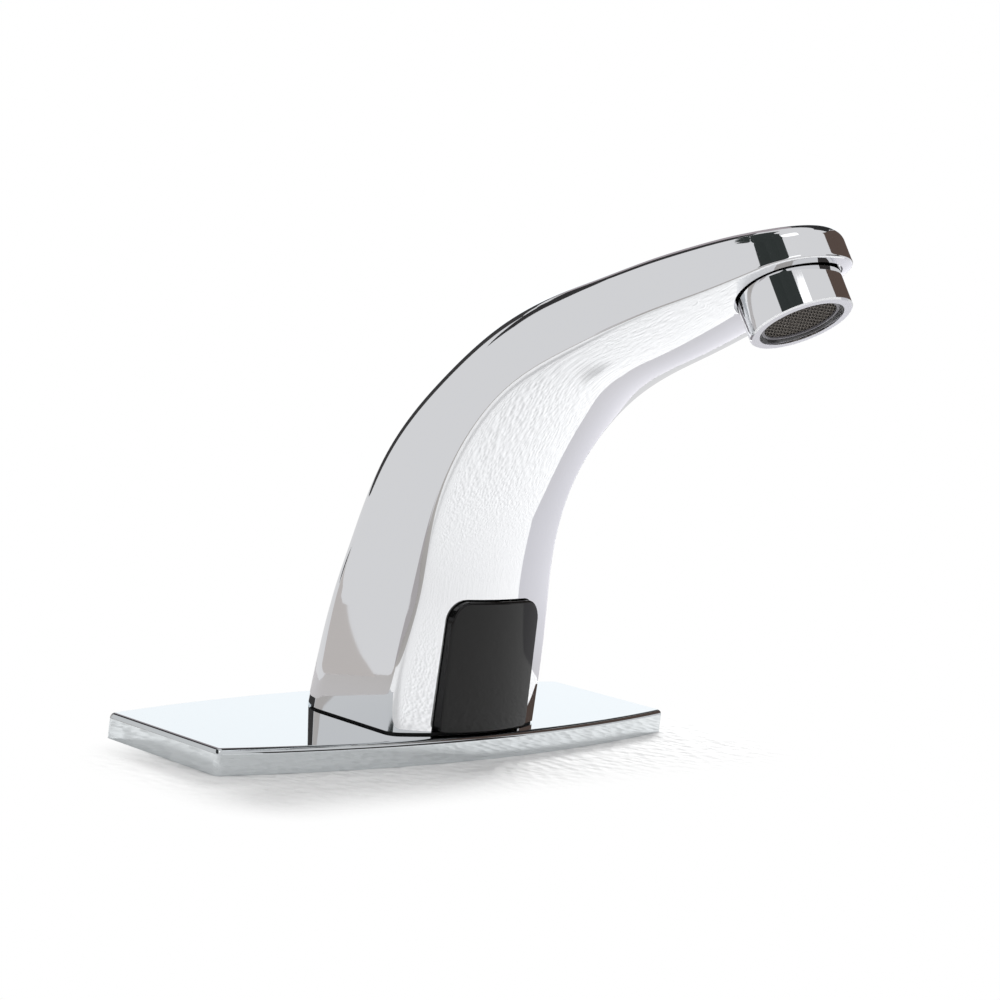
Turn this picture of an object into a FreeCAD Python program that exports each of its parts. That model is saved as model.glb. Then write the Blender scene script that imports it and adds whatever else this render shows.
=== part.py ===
import FreeCAD, Part
import math
import os
import Sketcher

# A touchless basin tap: a curved hollow casting on a bowed deck plate, a sensor
# behind a black window at its foot, an aerator screwed into the spout end, and a
# threaded shank with a lock nut that clamps it all to the deck.
# Millimetres. Z is up, X runs along the plate, the spout points to -Y.
# The origin is on the shank's axis at the underside of the deck plate.

V = FreeCAD.Vector
X_AXIS = V(1, 0, 0)
doc = FreeCAD.newDocument("SensorTap")
sheet = doc.addObject("Spreadsheet::Sheet", "Sizes")


# ---- sizes that know both their value and how they were worked out ---------------

class Size:
    """A number with the spreadsheet expression that gives it."""

    def __init__(self, value, text):
        self.value = value
        self.text = text

    def __add__(self, other):
        return combine(self, other, "+", self.value + number(other))

    def __radd__(self, other):
        return combine(other, self, "+", number(other) + self.value)

    def __sub__(self, other):
        return combine(self, other, "-", self.value - number(other))

    def __rsub__(self, other):
        return combine(other, self, "-", number(other) - self.value)

    def __mul__(self, other):
        return combine(self, other, "*", self.value * number(other))

    def __rmul__(self, other):
        return combine(other, self, "*", number(other) * self.value)

    def __truediv__(self, other):
        return combine(self, other, "/", self.value / number(other))

    def __neg__(self):
        return Size(-self.value, "(-1 * " + self.text + ")")


def number(size):
    return size.value if isinstance(size, Size) else size


def text(size):
    return size.text if isinstance(size, Size) else repr(size)


def combine(left, right, sign, value):
    return Size(value, "(" + text(left) + " " + sign + " " + text(right) + ")")


def sin_of(angle):
    return Size(math.sin(math.radians(number(angle))), "sin(" + text(angle) + ")")


def cos_of(angle):
    return Size(math.cos(math.radians(number(angle))), "cos(" + text(angle) + ")")


def root_of(size):
    return Size(math.sqrt(number(size)), "sqrt(" + text(size) + ")")


cell_count = 0


def size(name, value):
    """Write one driving size into the next row of the sheet."""
    global cell_count
    cell_count += 1
    cell = "B" + str(cell_count)
    sheet.set("A" + str(cell_count), name)
    sheet.set(cell, str(value))
    sheet.setAlias(cell, name)
    return Size(float(value), "Sizes." + name)


# Deck plate
plate_length = size("plate_length", 160)
plate_end_width = size("plate_end_width", 40)
plate_bow = size("plate_bow", 8.7)
plate_height = size("plate_height", 6.1)
plate_wall = size("plate_wall", 1.6)
plate_corner_radius = size("plate_corner_radius", 1.6)
plate_edge_round = size("plate_edge_round", 1.3)
plate_boss_radius = size("plate_boss_radius", 23)
gasket_rim_width = size("gasket_rim_width", 6)
joint_gap = size("joint_gap", 0.3)

# Joint between foot and plate
body_gasket_height = size("body_gasket_height", 0.5)
body_gasket_inset = size("body_gasket_inset", 0.9)

# The line that the front of the casting follows in the plane x = 0
foot_reach = size("foot_reach", 25.8)
stem_lean = size("stem_lean", 1.5)
stem_length = size("stem_length", 41.9)
bend_radius = size("bend_radius", 56.4)
bend_end_angle = size("bend_end_angle", 63)
neck_radius = size("neck_radius", 480)
spout_angle = size("spout_angle", 57)
front_crown_radius = size("front_crown_radius", 64)
nose_radius = size("nose_radius", 15.3)

# Casting
wall = size("wall", 3)
front_wall = size("front_wall", 5)
foot_web = size("foot_web", 10)
core_overrun = size("core_overrun", 1)
foot_shoulder_round = size("foot_shoulder_round", 9)
spout_shoulder_round = size("spout_shoulder_round", 3.5)
foot_corner_round = size("foot_corner_round", 3.5)
spout_corner_round = size("spout_corner_round", 0.6)

# Shank and what is on it
shank_radius = size("shank_radius", 10.4775)
shank_below_deck = size("shank_below_deck", 58)
shank_into_body = size("shank_into_body", 14)
shank_bore_radius = size("shank_bore_radius", 6.5)
thread_clearance = size("thread_clearance", 0.06)
thread_chamfer = size("thread_chamfer", 1)
inlet_thread_length = size("inlet_thread_length", 16.5)
relief_depth = size("relief_depth", 1.1)
relief_width = size("relief_width", 2.5)
plate_hole_clearance = size("plate_hole_clearance", 0.5)
deck_thickness = size("deck_thickness", 20)
washer_radius = size("washer_radius", 21)
washer_hole_clearance = size("washer_hole_clearance", 0.3)
washer_slot_width = size("washer_slot_width", 9)
rubber_washer_height = size("rubber_washer_height", 3)
clamp_washer_height = size("clamp_washer_height", 2)
nut_across_flats = size("nut_across_flats", 30)
nut_height = size("nut_height", 8)
nut_chamfer = size("nut_chamfer", 0.8)

# Water tube and its seals
tube_radius = size("tube_radius", 5)
tube_wall = size("tube_wall", 1)
tube_clearance = size("tube_clearance", 0.06)
tube_socket_depth = size("tube_socket_depth", 6)
seal_cord_radius = size("seal_cord_radius", 0.95)
seal_pocket_depth = size("seal_pocket_depth", 3)
seal_room_reach = size("seal_room_reach", 12)
socket_lip_height = size("socket_lip_height", 2)
tube_rise_over_stem = size("tube_rise_over_stem", 8.5)
tube_knee_angle = size("tube_knee_angle", 32.5)
tube_knee_depth = size("tube_knee_depth", 16.2)
tube_neck_angle = size("tube_neck_angle", 60.8)
tube_neck_depth = size("tube_neck_depth", 11.8)
tube_end_back = size("tube_end_back", 17.8)
tube_end_depth = size("tube_end_depth", 10.5)
flow_bore_radius = size("flow_bore_radius", 2.5)
flow_bore_overlap = size("flow_bore_overlap", 3)

# Sensor lead
lead_hole_place = size("lead_hole_place", 15.4)
grommet_radius = size("grommet_radius", 3.4)
grommet_bore_radius = size("grommet_bore_radius", 2)
grommet_flange_radius = size("grommet_flange_radius", 4.4)
grommet_flange_height = size("grommet_flange_height", 1.2)
grommet_foot_gap = size("grommet_foot_gap", 0.5)
grommet_clearance = size("grommet_clearance", 0.1)

# Sensor window and module
window_half_width = size("window_half_width", 15.5)
window_height = size("window_height", 32.5)
window_lift = size("window_lift", 0.3)
window_crown_radius = size("window_crown_radius", 66)
window_front = size("window_front", 28.5)
window_thickness = size("window_thickness", 5.2)
window_top_radius = size("window_top_radius", 5.4)
window_foot_radius = size("window_foot_radius", 1.5)
window_edge_round = size("window_edge_round", 0.6)
window_gasket_height = size("window_gasket_height", 0.7)
window_gasket_width = size("window_gasket_width", 1.6)
module_gap = size("module_gap", 0.3)
module_wall = size("module_wall", 1.5)
module_depth = size("module_depth", 10.3)
module_foot_gap = size("module_foot_gap", 1.3)
board_thickness = size("board_thickness", 1.2)
board_foot = size("board_foot", 16)
eye_spacing = size("eye_spacing", 12)
eye_height = size("eye_height", 28)
eye_radius = size("eye_radius", 2.5)
eye_length = size("eye_length", 6.4)
eye_flat_radius = size("eye_flat_radius", 0.2)
led_radius = size("led_radius", 1.5)
led_height = size("led_height", 20)
baffle_thickness = size("baffle_thickness", 1.6)
baffle_gap = size("baffle_gap", 0.2)
screw_spacing = size("screw_spacing", 16)
screw_height = size("screw_height", 12)
screw_radius = size("screw_radius", 1.25)
screw_length = size("screw_length", 3.6)
screw_hole_clearance = size("screw_hole_clearance", 0.06)
screw_head_radius = size("screw_head_radius", 2.4)
screw_head_height = size("screw_head_height", 1.6)
lead_exit_radius = size("lead_exit_radius", 2)

# Aerator, along its own axis; its zero is the spout's underside on that axis
aerator_radius = size("aerator_radius", 11.92)
aerator_drop = size("aerator_drop", 8.5)
aerator_thread_height = size("aerator_thread_height", 5.5)
aerator_clearance = size("aerator_clearance", 0.06)
aerator_mouth_radius = size("aerator_mouth_radius", 9.8)
aerator_lip_height = size("aerator_lip_height", 0.8)
aerator_bore_radius = size("aerator_bore_radius", 10.6)
aerator_edge_chamfer = size("aerator_edge_chamfer", 0.35)
recess_radius = size("recess_radius", 12.6)
recess_depth = size("recess_depth", 2.4)
aerator_washer_height = size("aerator_washer_height", 1)
aerator_washer_width = size("aerator_washer_width", 2.3)
aerator_washer_gap = size("aerator_washer_gap", 0.03)
chamber_radius = size("chamber_radius", 8)
chamber_height = size("chamber_height", 2.4)
cartridge_clearance = size("cartridge_clearance", 0.1)
cartridge_height = size("cartridge_height", 12.4)
cartridge_bore_radius = size("cartridge_bore_radius", 8.2)
cartridge_ledge_width = size("cartridge_ledge_width", 1)
cartridge_ledge_height = size("cartridge_ledge_height", 1)
mesh_seat_radius = size("mesh_seat_radius", 9.1)
mesh_ring_width = size("mesh_ring_width", 0.7)
mesh_ring_height = size("mesh_ring_height", 0.4)
mesh_ring_lift = size("mesh_ring_lift", 0.1)
mesh_thickness = size("mesh_thickness", 0.3)
mesh_pitch = size("mesh_pitch", 0.85)
mesh_hole = size("mesh_hole", 0.6)
flow_disc_height = size("flow_disc_height", 2.5)
flow_disc_lift = size("flow_disc_lift", 5.4)
flow_hole_radius = size("flow_hole_radius", 0.7)
flow_hole_circle = size("flow_hole_circle", 5.4)
screen_height = size("screen_height", 3)
screen_wall = size("screen_wall", 1)
screen_hole_radius = size("screen_hole_radius", 0.45)

# Stations of the casting. Each has its place on the front line, the half width at
# the front corner and at the back shoulder, the depth from front to back, and the
# radius of the crowned back. Straight stretches are placed by length, bends by angle.
STATIONS = [
    ("foot", "stem", 0, 26.2, 25.2, 50.7, 27),
    ("ankle", "stem", 15, 26.2, 24.6, 48.6, 27.5),
    ("shin", "stem", 30, 24.9, 22.6, 45.6, 28),
    ("knee", "bend", 1.6, 23.9, 20.6, 42, 29),
    ("waist", "bend", 18, 23.4, 20.2, 35.6, 33),
    ("chest", "bend", 34, 23.5, 20.6, 29.2, 38),
    ("collar", "bend", 50, 23.5, 21.2, 25.4, 45),
    ("nape", "bend", 62.9, 23.2, 21.5, 23.4, 52),
    ("neck", "neck", 61.5, 23.1, 21.8, 21.6, 60),
    ("throat", "neck", 59.4, 21.1, 20.5, 18.7, 66),
    ("chin", "neck", 58.2, 18.45, 18.2, 16.4, 70),
    ("lip", "nose", 0, 15.75, 15.7, 13.6, 72),
    ("mouth", "nose", 9, 13.3, 13.25, 10.4, 72),
    ("tip", "nose", 18, 10.9, 10.85, 7.2, 72),
]


class Station:
    """One cross-section of the casting, square to the front line."""

    def __init__(self, name, stretch, place, front, back, depth, back_radius):
        self.name = name
        self.stretch = stretch
        self.place = size(name + "_place", place)
        self.half_front = size(name + "_half_front", front)
        self.half_back = size(name + "_half_back", back)
        self.depth = size(name + "_depth", depth)
        self.back_radius = size(name + "_back_radius", back_radius)


stations = [Station(*row) for row in STATIONS]
station_named = {station.name: station for station in stations}
doc.recompute()

# Levels and places that several pieces share
body_base = plate_height + body_gasket_height
web_top = body_base + foot_web
shank_top = body_base + shank_into_body
plate_hole_radius = shank_radius + plate_hole_clearance
lead_hole_radius = grommet_radius + grommet_clearance
seal_room_radius = tube_radius + 2 * tube_clearance + 2 * seal_cord_radius


# ---- the front line ---------------------------------------------------------------

def on_stem(length, angle):
    y = -foot_reach - length * sin_of(stem_lean)
    z = body_base + length * cos_of(stem_lean)
    return y, z, angle


def on_bend(angle):
    y, z, lean = on_stem(stem_length, stem_lean)
    y = y - bend_radius * (cos_of(stem_lean) - cos_of(angle))
    z = z + bend_radius * (sin_of(angle) - sin_of(stem_lean))
    return y, z, angle


def on_neck(angle):
    y, z, turned = on_bend(bend_end_angle)
    y = y - neck_radius * (cos_of(angle) - cos_of(bend_end_angle))
    z = z + neck_radius * (sin_of(bend_end_angle) - sin_of(angle))
    return y, z, angle


def on_nose(length):
    y, z, angle = on_neck(spout_angle)
    return y - length * sin_of(angle), z + length * cos_of(angle), angle


def station_place(station):
    """Where the front line is at a station, and how far it has turned there."""
    if station.stretch == "stem":
        angle = 0 if number(station.place) == 0 else stem_lean
        return on_stem(station.place, angle)
    if station.stretch == "bend":
        return on_bend(station.place)
    if station.stretch == "neck":
        return on_neck(station.place)
    return on_nose(station.place)


def inside_casting(line_place, depth):
    """A point in the plane x = 0 that lies a depth behind a place on the front line."""
    y, z, angle = line_place
    return y + depth * cos_of(angle), z + depth * sin_of(angle)


lip_y, lip_z = on_nose(0)[:2]

# Corners of the water tube, which follows the casting, and the bore that leads on
tube_rise_z = on_stem(stem_length, stem_lean)[1] + tube_rise_over_stem
tube_knee_y, tube_knee_z = inside_casting(on_bend(tube_knee_angle), tube_knee_depth)
tube_neck_y, tube_neck_z = inside_casting(on_bend(tube_neck_angle), tube_neck_depth)
tube_end_y, tube_end_z = inside_casting(on_nose(-tube_end_back), tube_end_depth)
flow_bore_length = tube_end_back - chamber_radius + flow_bore_overlap


# ---- small tools for the document -------------------------------------------------

def bind(obj, prop, value):
    obj.setExpression(prop, text(value))


def new_body(name):
    body = doc.addObject("PartDesign::Body", name)
    body.Label = name
    return body


def attach(sketch, body, role, y=0, z=0, turn=0):
    """Lay a sketch on a plane of its own body, moved by y and z and turned about X."""
    plane = [item for item in body.Origin.OriginFeatures if item.Role == role][0]
    sketch.AttachmentSupport = [(plane, "")]
    sketch.MapMode = "FlatFace"
    spin = FreeCAD.Rotation(X_AXIS, number(turn) if number(turn) else 1)
    sketch.AttachmentOffset = FreeCAD.Placement(V(0, number(y), number(z)), spin)
    bind(sketch, "AttachmentOffset.Base.y", y)
    bind(sketch, "AttachmentOffset.Base.z", z)
    bind(sketch, "AttachmentOffset.Rotation.Angle", turn)


def new_sketch(body, name, role, y=0, z=0, turn=0):
    sketch = body.newObject("Sketcher::SketchObject", body.Label + "_" + name)
    attach(sketch, body, role, y, z, turn)
    return sketch


def hold(sketch, value, kind, *where):
    """Add a dimension to a sketch and bind it to the sheet."""
    index = sketch.addConstraint(Sketcher.Constraint(kind, *where, number(value)))
    bind(sketch, "Constraints[" + str(index) + "]", value)


def hold_point(sketch, item, end, x, y):
    hold(sketch, x, "DistanceX", -1, 1, item, end)
    hold(sketch, y, "DistanceY", -1, 1, item, end)


def draw_polygon(sketch, corners):
    """A closed outline of straight lines through corners given as (x, y) sizes."""
    points = [V(number(x), number(y), 0) for x, y in corners]
    first = sketch.GeometryCount
    count = len(points)
    for index in range(count):
        line = Part.LineSegment(points[index], points[(index + 1) % count])
        sketch.addGeometry(line, False)
    for index in range(count):
        after = first + (index + 1) % count
        sketch.addConstraint(Sketcher.Constraint("Coincident", first + index, 2, after, 1))
    for index, (x, y) in enumerate(corners):
        hold_point(sketch, first + index, 1, x, y)


def draw_circle(sketch, radius, x=0, y=0):
    centre = V(number(x), number(y), 0)
    item = sketch.addGeometry(Part.Circle(centre, V(0, 0, 1), number(radius)), False)
    hold(sketch, radius, "Radius", item)
    hold_point(sketch, item, 3, x, y)


def arc_between(centre_y, radius, start, end):
    """An arc about (0, centre_y) from one (x, y) point to another, turning left."""
    low = math.atan2(start[1] - centre_y, start[0])
    high = math.atan2(end[1] - centre_y, end[0])
    circle = Part.Circle(V(0, centre_y, 0), V(0, 0, 1), radius)
    return Part.ArcOfCircle(circle, low, high)


def draw_section(sketch, half_front, half_back, depth, front_radius, back_radius, inset=0):
    """Crowned front, two sides and a crowned back. The front's crown starts at y = inset."""
    front_centre = inset + front_radius
    back_centre = inset + depth - back_radius
    front_y = number(front_centre) - math.sqrt(number(front_radius) ** 2 - number(half_front) ** 2)
    back_y = number(back_centre) + math.sqrt(number(back_radius) ** 2 - number(half_back) ** 2)
    front_right = (number(half_front), front_y)
    front_left = (-number(half_front), front_y)
    back_right = (number(half_back), back_y)
    back_left = (-number(half_back), back_y)
    sketch.addGeometry(
        [
            arc_between(number(front_centre), number(front_radius), front_left, front_right),
            Part.LineSegment(V(*front_right, 0), V(*back_right, 0)),
            arc_between(number(back_centre), number(back_radius), back_right, back_left),
            Part.LineSegment(V(*back_left, 0), V(*front_left, 0)),
        ],
        False,
    )
    for index in range(4):
        joint = Sketcher.Constraint("Coincident", index, 2, (index + 1) % 4, 1)
        sketch.addConstraint(joint)
    for index in (0, 2):
        sketch.addConstraint(Sketcher.Constraint("Symmetric", index, 1, index, 2, -2))
    hold(sketch, front_radius, "Radius", 0)
    hold(sketch, back_radius, "Radius", 2)
    hold(sketch, front_centre, "DistanceY", -1, 1, 0, 3)
    hold(sketch, back_centre, "DistanceY", -1, 1, 2, 3)
    hold(sketch, half_front, "DistanceX", -1, 1, 1, 1)
    hold(sketch, half_back, "DistanceX", -1, 1, 2, 1)


def feature(body, kind, name, profile, **settings):
    item = body.newObject("PartDesign::" + kind, body.Label + "_" + name)
    item.Profile = profile
    for prop, value in settings.items():
        if isinstance(value, Size):
            setattr(item, prop, number(value))
            bind(item, prop, value)
        else:
            setattr(item, prop, value)
    doc.recompute()
    return item


def pad(body, name, sketch, length):
    return feature(body, "Pad", name, sketch, Length=length)


def pocket(body, name, sketch, length):
    """Cut along the sketch's normal, and make sure that something was cut."""
    before = body.Shape.Volume
    cut = feature(body, "Pocket", name, sketch, Length=length, Reversed=True)
    if body.Shape.Volume >= before:
        raise RuntimeError(body.Label + "_" + name + " cuts nothing")
    return cut


def turned(name, steps):
    """A round piece about its own Z axis, from (radius, height) corners of half its section."""
    body = new_body(name)
    sketch = new_sketch(body, "profile", "XZ_Plane")
    draw_polygon(sketch, steps)
    feature(body, "Revolution", "turn", sketch, ReferenceAxis=(sketch, ["V_Axis"]), Angle=360)
    return body


def ring_steps(inner, outer, low, high):
    return [(inner, low), (outer, low), (outer, high), (inner, high)]


def edge_names(shape, wanted):
    return ["Edge" + str(index) for index, edge in enumerate(shape.Edges, 1) if wanted(edge)]


def dress_edges(kind, prop, body, name, wanted, amount):
    """Fillet or chamfer the edges of a body that are wanted."""
    base = body.Tip
    names = edge_names(base.Shape, wanted)
    item = body.newObject("PartDesign::" + kind, body.Label + "_" + name)
    item.Base = (base, names)
    setattr(item, prop, number(amount))
    bind(item, prop, amount)
    body.Tip = item
    doc.recompute()
    return item


def round_edges(body, name, wanted, radius):
    return dress_edges("Fillet", "Radius", body, name, wanted, radius)


def runs_along(edge, axis):
    """True for a straight edge along the axis numbered 0, 1 or 2."""
    box = edge.BoundBox
    spans = [box.XLength, box.YLength, box.ZLength]
    others = [span for index, span in enumerate(spans) if index != axis]
    return spans[axis] > 0.5 and max(others) < 0.001


def put(obj, x=0, y=0, z=0, turn=0):
    """Place a piece: move it, and turn it about X."""
    spin = FreeCAD.Rotation(X_AXIS, number(turn) if number(turn) else 1)
    obj.Placement = FreeCAD.Placement(V(number(x), number(y), number(z)), spin)
    bind(obj, "Placement.Base.x", x)
    bind(obj, "Placement.Base.y", y)
    bind(obj, "Placement.Base.z", z)
    bind(obj, "Placement.Rotation.Angle", turn)


def to_aerator_frame(obj, height=0):
    """Stand a piece on the aerator's axis, at a height above the spout's underside."""
    put(
        obj,
        0,
        lip_y + height * cos_of(spout_angle),
        lip_z + height * sin_of(spout_angle),
        spout_angle - 90,
    )


def boolean(kind, name, parts):
    item = doc.addObject("Part::" + kind, name)
    if kind == "Cut":
        item.Base = parts[0]
        item.Tool = parts[1]
    else:
        item.Shapes = parts
    doc.recompute()
    return item


nodes = []


def keep(obj, label=None):
    """Mark an object as a finished piece of the tap."""
    obj.Label = label or obj.Label
    nodes.append(obj)
    return obj


# ---- deck plate -------------------------------------------------------------------

def draw_plate_outline(sketch, inset):
    """Short straight ends and long bowed sides; inset moves the whole outline inwards."""
    half_length = plate_length / 2 - inset
    half_end = plate_end_width / 2 - inset
    reach = half_end + plate_bow
    half = number(half_length)
    bow_radius = (half ** 2 + number(plate_bow) ** 2) / (2 * number(plate_bow))
    centre = number(reach) - bow_radius
    right = (half, number(half_end))
    left = (-half, number(half_end))
    low_arc = arc_between(-centre, bow_radius, (left[0], -left[1]), (right[0], -right[1]))
    high_arc = arc_between(centre, bow_radius, right, left)
    sketch.addGeometry(
        [
            low_arc,
            Part.LineSegment(V(half, -right[1], 0), V(*right, 0)),
            high_arc,
            Part.LineSegment(V(*left, 0), V(-half, -left[1], 0)),
        ],
        False,
    )
    for index in range(4):
        joint = Sketcher.Constraint("Coincident", index, 2, (index + 1) % 4, 1)
        sketch.addConstraint(joint)
    for index in (0, 2):
        sketch.addConstraint(Sketcher.Constraint("Symmetric", index, 1, index, 2, -2))
    hold(sketch, half_length, "DistanceX", -1, 1, 1, 1)
    hold(sketch, half_length, "DistanceX", -1, 1, 2, 1)
    hold(sketch, -half_end, "DistanceY", -1, 1, 1, 1)
    hold(sketch, half_end, "DistanceY", -1, 1, 2, 1)
    radius = (half_length * half_length + plate_bow * plate_bow) / (2 * plate_bow)
    hold(sketch, radius, "Radius", 0)
    hold(sketch, radius, "Radius", 2)


def make_deck_plate():
    body = new_body("deck_plate")
    outline = new_sketch(body, "outline", "XY_Plane")
    draw_plate_outline(outline, 0)
    pad(body, "blank", outline, plate_height)
    round_edges(body, "corners", lambda edge: runs_along(edge, 2), plate_corner_radius)
    top = number(plate_height) - 0.01
    round_edges(body, "edge", lambda edge: edge.BoundBox.ZMin > top, plate_edge_round)
    hollow = new_sketch(body, "hollow", "XY_Plane")
    draw_plate_outline(hollow, plate_wall)
    draw_circle(hollow, plate_boss_radius)
    pocket(body, "hollow_cut", hollow, plate_height - plate_wall)
    holes = new_sketch(body, "holes", "XY_Plane")
    draw_circle(holes, plate_hole_radius)
    draw_circle(holes, lead_hole_radius, 0, lead_hole_place)
    pocket(body, "holes_cut", holes, plate_height)
    return keep(body)


def make_plate_gasket():
    body = new_body("plate_gasket")
    outline = new_sketch(body, "outline", "XY_Plane")
    draw_plate_outline(outline, plate_wall + joint_gap)
    pad(body, "blank", outline, plate_height - plate_wall)
    opening = new_sketch(body, "opening", "XY_Plane")
    draw_plate_outline(opening, plate_wall + joint_gap + gasket_rim_width)
    pocket(body, "opening_cut", opening, plate_height - plate_wall)
    boss = new_sketch(body, "boss", "XY_Plane")
    draw_circle(boss, plate_boss_radius + joint_gap)
    pocket(body, "boss_cut", boss, plate_height - plate_wall)
    return keep(body)


def make_body_gasket():
    foot = station_named["foot"]
    body = new_body("body_gasket")
    outline = new_sketch(body, "outline", "XY_Plane", -foot_reach, plate_height)
    draw_section(
        outline,
        foot.half_front - body_gasket_inset,
        foot.half_back - body_gasket_inset,
        foot.depth - 2 * body_gasket_inset,
        front_crown_radius,
        foot.back_radius - body_gasket_inset,
        body_gasket_inset,
    )
    pad(body, "blank", outline, body_gasket_height)
    holes = new_sketch(body, "holes", "XY_Plane", 0, plate_height)
    draw_circle(holes, plate_hole_radius)
    draw_circle(holes, lead_hole_radius, 0, lead_hole_place)
    pocket(body, "holes_cut", holes, body_gasket_height)
    return keep(body)


# ---- casting ----------------------------------------------------------------------

def make_outside():
    """Loft the casting's outside through all the stations."""
    body = new_body("casting")
    sections = []
    for station in stations:
        sketch = new_sketch(body, station.name, "XY_Plane", *station_place(station))
        draw_section(
            sketch,
            station.half_front,
            station.half_back,
            station.depth,
            front_crown_radius,
            station.back_radius,
        )
        sections.append(sketch)
    feature(body, "AdditiveLoft", "loft", sections[0], Sections=sections[1:])
    return body


def make_core(last):
    """Loft the hollow from the foot's web up to one station; the front wall is thick at the stem."""
    body = new_body("casting_core")
    sections = []
    for station in stations[: stations.index(last) + 1]:
        y, z, angle = station_place(station)
        front = front_wall if station.stretch == "stem" else wall
        if station is stations[0]:
            z = web_top
        sketch = new_sketch(body, station.name, "XY_Plane", y, z, angle)
        draw_section(
            sketch,
            station.half_front - wall,
            station.half_back - wall,
            station.depth - front - wall,
            front_crown_radius,
            station.back_radius - wall,
            front,
        )
        sections.append(sketch)
    feature(body, "AdditiveLoft", "loft", sections[0], Sections=sections[1:])
    return body


def cut_nose(body):
    """Trim the spout's end to a round nose about the aerator's axis."""
    lip = station_named["lip"]
    tip = station_named["tip"]
    taper = (lip.half_front - tip.half_front) / tip.place
    ahead = nose_radius * taper / root_of(1 + taper * taper)
    radius = number(nose_radius)
    rise = number(ahead)
    side = math.sqrt(radius ** 2 - rise ** 2)
    far = 2 * radius
    sketch = new_sketch(body, "nose", "XY_Plane", lip_y, lip_z, spout_angle + 90)
    corners = [(side, rise), (far, rise), (far, far), (-far, far), (-far, rise), (-side, rise)]
    for index in range(5):
        line = Part.LineSegment(V(*corners[index], 0), V(*corners[index + 1], 0))
        sketch.addGeometry(line, False)
    sketch.addGeometry(arc_between(0, radius, corners[0], corners[5]), False)
    for index in range(4):
        sketch.addConstraint(Sketcher.Constraint("Coincident", index, 2, index + 1, 1))
    sketch.addConstraint(Sketcher.Constraint("Coincident", 4, 2, 5, 2))
    sketch.addConstraint(Sketcher.Constraint("Coincident", 5, 1, 0, 1))
    sketch.addConstraint(Sketcher.Constraint("Coincident", 5, 3, -1, 1))
    for index in (0, 4):
        sketch.addConstraint(Sketcher.Constraint("Horizontal", index))
    for index in (1, 3):
        sketch.addConstraint(Sketcher.Constraint("Vertical", index))
    sketch.addConstraint(Sketcher.Constraint("Symmetric", 1, 2, 2, 2, -2))
    sketch.addConstraint(Sketcher.Constraint("Horizontal", 5, 1, 5, 2))
    hold(sketch, nose_radius, "Radius", 5)
    hold(sketch, 2 * nose_radius, "DistanceX", -1, 1, 2, 1)
    hold(sketch, 2 * nose_radius, "DistanceY", -1, 1, 2, 1)
    hold(sketch, ahead, "DistanceY", -1, 1, 5, 1)
    feature(body, "Pocket", "nose_cut", sketch, SideType="Symmetric", Type="ThroughAll")


def round_casting(casting):
    """Round the shoulders and the nose, and soften the front corners towards the foot."""
    shape = casting.Shape
    high = number(lip_z)
    edges = []
    for index, edge in enumerate(shape.Edges, 1):
        box = edge.BoundBox
        if edge.Length > number(stem_length + bend_radius):
            starts_low = edge.Vertexes[0].Point.z < edge.Vertexes[-1].Point.z
            if box.YMax > 0:
                radii = (number(foot_shoulder_round), number(spout_shoulder_round))
            else:
                radii = (number(foot_corner_round), number(spout_corner_round))
            edges.append((index, *(radii if starts_low else radii[::-1])))
        elif edge.Length > number(nose_radius) and box.ZMin > high:
            ridge = spout_shoulder_round if box.ZMax > high + 12 else spout_corner_round
            edges.append((index, number(ridge), number(ridge)))
    rounded = doc.addObject("Part::Fillet", "casting_rounded")
    rounded.Base = casting
    rounded.Edges = edges
    doc.recompute()
    return rounded


def cylinder(name, radius, height, x=0, y=0, z=0, turn=0):
    item = doc.addObject("Part::Cylinder", name)
    item.Radius = number(radius)
    item.Height = number(height)
    bind(item, "Radius", radius)
    bind(item, "Height", height)
    put(item, x, y, z, turn)
    return item


def block(name, half_width, near, far, low, high):
    """A box centred on x = 0, from y = near to y = far and z = low to z = high."""
    item = doc.addObject("Part::Box", name)
    bind(item, "Length", 2 * half_width)
    bind(item, "Width", far - near)
    bind(item, "Height", high - low)
    put(item, -half_width, near, low)
    return item


def place_on_tube_end(item, start):
    """Put an item on the axis of the tube's last run, a distance back from its end."""
    run_y = number(tube_neck_y - tube_end_y)
    run_z = number(tube_end_z - tube_neck_z)
    run = math.hypot(run_y, run_z)
    y = number(tube_end_y) + number(start) * run_y / run
    z = number(tube_end_z) - number(start) * run_z / run
    turn = FreeCAD.Rotation(X_AXIS, 90 - math.degrees(math.atan2(run_z, run_y)))
    item.Placement = FreeCAD.Placement(V(0, y, z), turn)


def along_tube_end(name, radius, start, length):
    """A cylinder on the tube's last run, from a distance back from its end."""
    item = doc.addObject("Part::Cylinder", name)
    bind(item, "Radius", radius)
    bind(item, "Height", length)
    place_on_tube_end(item, start)
    return item


module_back = window_front - window_thickness - module_depth
module_low = body_base + module_foot_gap
module_top = body_base + window_height - module_foot_gap
module_half = window_half_width - window_gasket_width - 2 * module_gap
window_back = window_front - window_thickness
window_low = body_base + window_lift
window_top = window_low + window_height
gasket_back = window_back - window_gasket_height


def make_window_opening():
    """The opening for the window in the front wall, rounded at its top corners."""
    opening = block(
        "window_opening",
        window_half_width + joint_gap,
        -window_front - 2 * window_thickness,
        -gasket_back,
        body_base - core_overrun,
        window_top + joint_gap,
    )
    doc.recompute()
    top = number(window_top)
    wanted = [
        index
        for index, edge in enumerate(opening.Shape.Edges, 1)
        if runs_along(edge, 1) and edge.BoundBox.ZMin > top
    ]
    rounded = doc.addObject("Part::Fillet", "window_opening_rounded")
    rounded.Base = opening
    radius = number(window_top_radius + joint_gap)
    rounded.Edges = [(index, radius, radius) for index in wanted]
    doc.recompute()
    return rounded


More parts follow.
